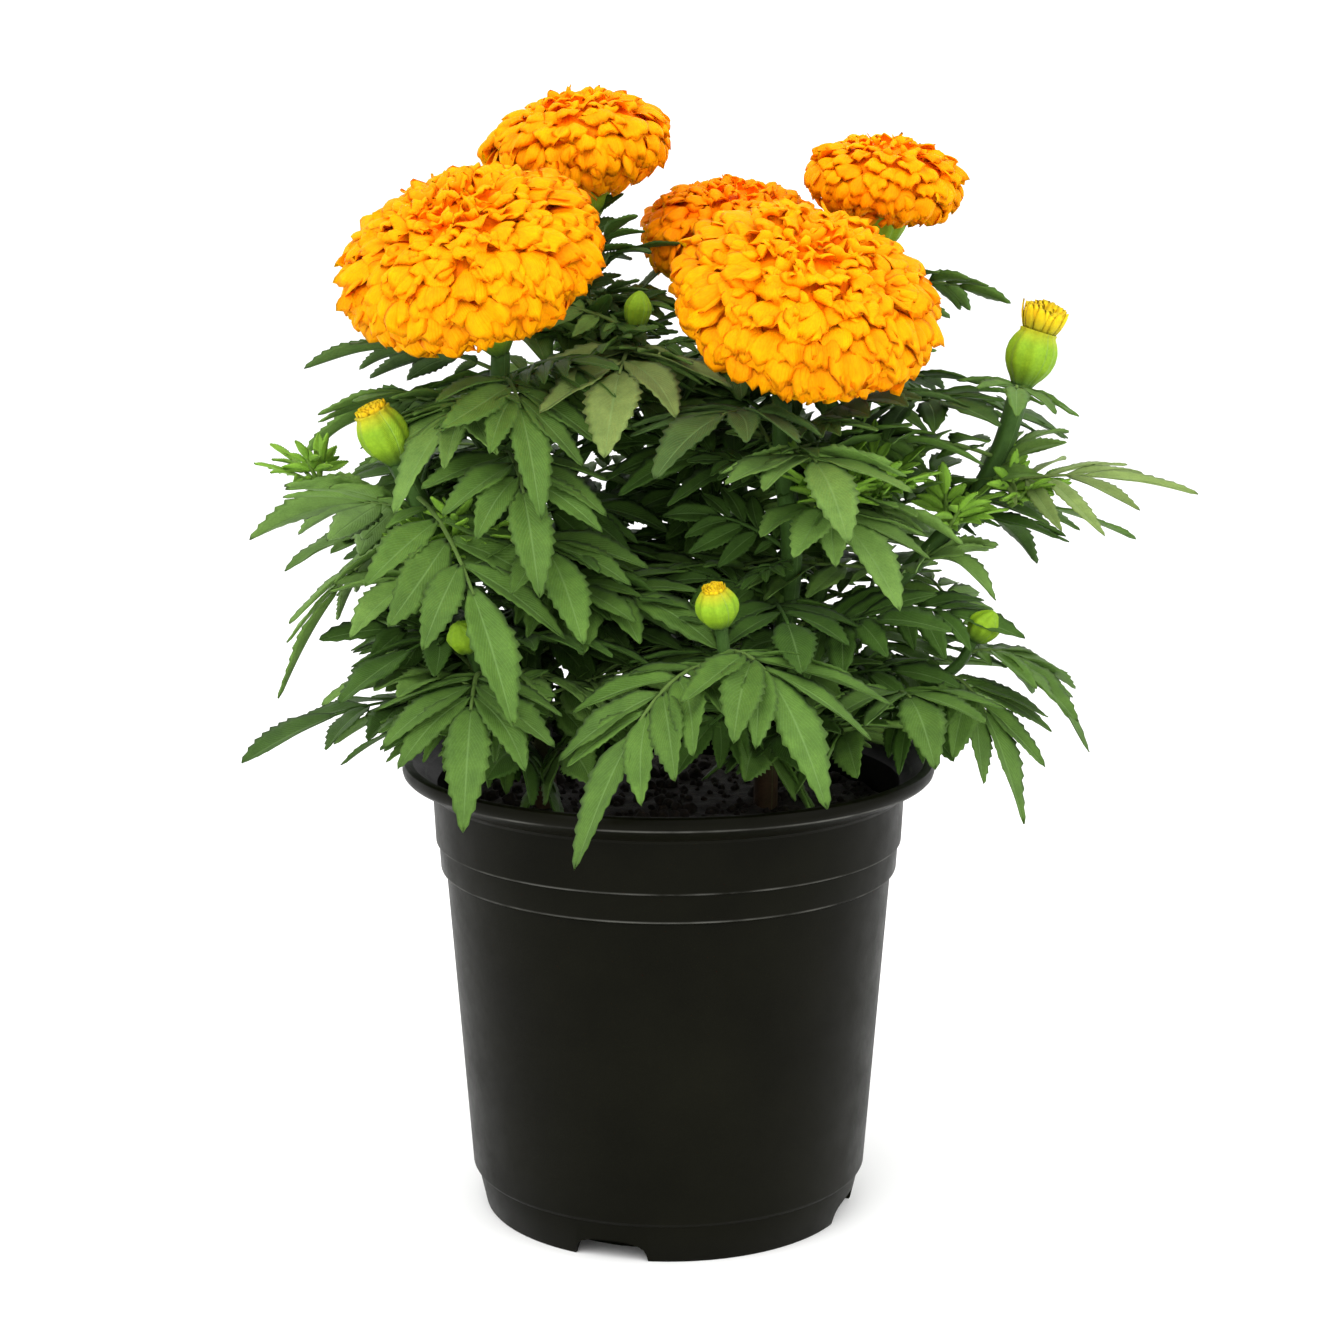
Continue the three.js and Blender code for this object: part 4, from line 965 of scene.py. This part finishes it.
def make_pot(material):
    """The turned pot, with its drain notches cut out of the foot."""
    heap = Heap()
    turned(heap, pot_profile(), POT.sides)
    pot = heap.piece("nursery_pot", material, "pot_plastic", ["pot"])
    cutters = Heap()
    half, rise = NOTCH.width / 2, NOTCH.height - 0.4
    bow = np.linspace(0.12, pi - 0.12, 13)
    arch = [(-half, -2), (half, -2), (half, 0.4)]
    arch += [(half * cos(a) * 0.98, 0.4 + rise * sin(a) ** 0.6) for a in bow]
    arch = np.array(arch + [(-half, 0.4)])
    n = len(arch)
    for k in range(NOTCH.count):
        out = level(radians(NOTCH.first_angle + 360 * k / NOTCH.count))
        opening = arch[:, :1] * np.cross(UP, out) + arch[:, 1:] * UP
        ends = [out * r + opening for r in (NOTCH.inner_radius, POT.low_radius + 3)]
        ring = np.arange(n)
        sides = np.stack([ring, np.roll(ring, -1), n + np.roll(ring, -1), n + ring], axis=-1)
        caps = [ring[::-1][None], (n + ring)[None]]
        cutters.add(np.vstack(ends), [sides, *caps], np.zeros((2 * n, 2)), (1, 1, 1))
    tool = cutters.piece("notch_tool", material, "pot_plastic")
    cut = pot.modifiers.new("notches", "BOOLEAN")
    cut.object, cut.operation, cut.solver = tool, "DIFFERENCE", "EXACT"
    graph = bpy.context.evaluated_depsgraph_get()
    mesh = bpy.data.meshes.new_from_object(pot.evaluated_get(graph))
    pot.modifiers.clear()
    pot.data = mesh
    bpy.data.objects.remove(tool)
    mesh.set_sharp_from_angle(angle=radians(28))


def make_soil(material):
    """The body of the mix with its uneven mound, and crumbs strewn over it."""
    rng = np.random.default_rng(SOIL.seed)
    edge, top, mound = SOIL.edge, SOIL.top_z, SOIL.mound
    slopes = rng.normal(size=(18, 2)) * np.linspace(0.05, 0.5, 18)[:, None]
    waves = np.column_stack([slopes, rng.uniform(0, 6.28, 18)])

    def relief(points):
        x, y = points[..., 0], points[..., 1]
        total = sum(np.sin(x * a + y * b + p) / (1 + 3 * hypot(a, b)) for a, b, p in waves)
        return SOIL.relief * total / 3

    def surface(x, y):
        r = hypot(x, y)
        return top + mound * (1 - r / edge) + float(relief(np.array([x, y])))

    heap = Heap()
    wall = POT.wall + GAP + SOIL.play
    bottom = POT.floor + GAP + SOIL.play
    profile = [
        (0, bottom), (POT.disc_radius - 1.7, bottom), (POT.low_radius - wall, POT.low_z + 1),
        (POT.step_radius - POT.step_in - wall, POT.step_z - 1.6), (edge, top - 2),
    ]
    profile += [(edge * share, top + mound * (1 - share)) for share in (*np.linspace(1, 0.02, 46), 0)]
    turned(heap, profile, 120, lambda rings: np.where(rings[..., 2] > top - 1, relief(rings), 0))
    # Each crumb is a small uneven ball of five rings.
    fall = pi * (np.arange(5) + 0.6) / (5 + 0.2)
    placed = 0
    while placed < SOIL.crumbs:
        x, y = rng.uniform(-edge, edge, 2)
        if hypot(x, y) > edge - 2.5:
            continue
        radius = rng.uniform(*(SOIL.small if rng.random() < SOIL.small_share else SOIL.large))
        radii = radius * np.sin(fall) * rng.uniform(0.75, 1.2, 5)
        lean = unit(rng.normal(size=3))
        centres = np.outer(radius * np.cos(fall), lean) + [x, y, surface(x, y) + radius * 0.35]
        tube(heap, centres, radii, (1, 1, 1), 7, 0.12, 3, unit(np.cross(lean, [0.3, 0.8, 0.2])))
        placed += 1
    heap.piece("potting_mix_crumbs", material, "soil", ["potting_mix"])


# ---- plants
# Unfolding shoots: foot, heading, size, leaves, tone.
TUFTS = {"plant_left": [
    ((-68, -34, 208), (-0.1, -0.5, 1), 24, 7, "young"), ((-60, -38, 214), (0.2, -0.6, 1), 20, 6, "young"),
    ((-104, -22, 230), (-0.4, -0.1, 1), 20, 5, "young"),
    ((-29, 21, 278), (0.9, -0.3, 0.6), 32, 5, "grey"),
    ((-29, 21, 262), (0.4, -0.2, 1), 44, 4, "shaded"), ((-29, 22, 292), (0.8, -0.3, 0.8), 38, 3, "shaded"),
], "plant_right": [
    ((48, -30, 224), (0, -0.4, 1), 26, 6, "young"), ((60, -28, 226), (0.4, -0.3, 1), 24, 6, "young"),
    ((84, -14, 216), (0.5, -0.1, 1), 24, 5, "young"), ((104, -6, 222), (0.8, 0, 1), 22, 6, "young"),
]}


def make_plant(plant, material, seed):
    rng = np.random.default_rng(seed)
    heap = Heap()
    for stem in STEMS[plant].values():
        make_stem(heap, stem, rng)
    for stem, along, tip, arch, pairs, length, width, roll, tone in LEAVES[plant]:
        leaf(heap, leaf_base(plant, stem, along), tip, arch, pairs, (length, width), roll, tone, rng)
    for base, tip in rule_leaves(plant):
        # Half of the paired leaves get the green with painted shade.
        tone = "mid" if rng.random() < 0.5 else "shaded"
        leaf(heap, base, tip, RULE.arch, 3, RULE.blade, 0, tone, rng)
    for base, tip, reach in filling_leaves(plant, rng):
        blade = (reach * rng.uniform(*BUSH.length), reach * rng.uniform(*BUSH.width))
        arch, roll = reach * rng.uniform(*BUSH.arch), rng.uniform(-BUSH.roll, BUSH.roll)
        # Filling leaves take, at random, the green with painted sunlight, the plain mid green or the green
        # with painted shade.
        tone = rng.choice(["light", "mid", "shaded"], p=[0.2, 0.4, 0.4])
        leaf(heap, base, tip, arch, 3, blade, roll, tone, rng, PLAIN)
    for stem, along, tip, *tone in BACKING[plant]:
        base = leaf_base(plant, stem, along)
        reach = np.linalg.norm(tip - base)
        roll = copysign(BACK.roll, tip[0] - base[0]) + rng.uniform(-BACK.vary, BACK.vary)
        # Backing leaves inside the bush take the green with painted shade unless listed otherwise.
        tone = (tone or ["shaded"])[0]
        leaf(heap, base, tip, BACK.arch * reach, 3, BACK.blade * reach, roll, tone, rng)
    for centre, axis, size, count, tone in TUFTS[plant]:
        tuft(heap, np.array(centre, float), unit(np.array(axis)), size, count, tone, rng)
    heap.piece(plant + "_foliage", material, "leaf_green", [plant])


# ---- stage, camera, light
def make_stage():
    """A pale floor, a plain white sky and two broad, soft lights."""
    mesh = bpy.data.meshes.new("studio_floor")
    ways = ((-1, -1), (1, -1), (1, 1), (-1, 1))
    mesh.from_pydata([(x * FLOOR_HALF, y * FLOOR_HALF, 0) for x, y in ways], [], [(0, 1, 2, 3)])
    mesh.materials.append(floor_look())
    floor = new_object("studio_floor", mesh)
    world = bpy.data.worlds.new("studio")
    world.use_nodes = True
    background = world.node_tree.nodes["Background"]
    background.inputs["Color"].default_value = (1, 1, 1, 1)
    background.inputs["Strength"].default_value = SKY_STRENGTH
    bpy.context.scene.world = world
    for name, (place, size, power) in LIGHTS.items():
        data = bpy.data.lights.new(name, "AREA")
        data.shape, data.size, data.energy = "DISK", size, power
        light = new_object(name, data)
        light.location = place
        light.rotation_euler = (Vector(LIGHT_AIM) - Vector(place)).to_track_quat("-Z", "Y").to_euler()


def make_camera():
    data = bpy.data.cameras.new("camera")
    data.lens, data.sensor_width = CAMERA.lens, CAMERA.sensor
    camera = new_object("camera", data)
    camera.location = CAMERA.place
    camera.rotation_euler = (radians(90 - CAMERA.down), 0, 0)
    bpy.context.scene.camera = camera


make_camera()
green = leaf_look()
orange = petal_look("marigold_petal")
make_pot(pot_look())
make_soil(soil_look())
make_plant("plant_left", green, 11)
make_plant("plant_right", green, 12)
for head in BLOOMS:
    make_bloom(head, orange)
yellow = petal_look("bud_florets")
for plant in STEMS.values():
    for stem in plant.values():
        bud = stem[2]
        if bud in BUDS and BUDS[bud]["mouth"]:
            florets(stem).piece(bud + "_fringe", yellow, "floret_yellow", [bud + "_florets"])
make_stage()
bpy.context.scene.view_settings.view_transform = "Standard"
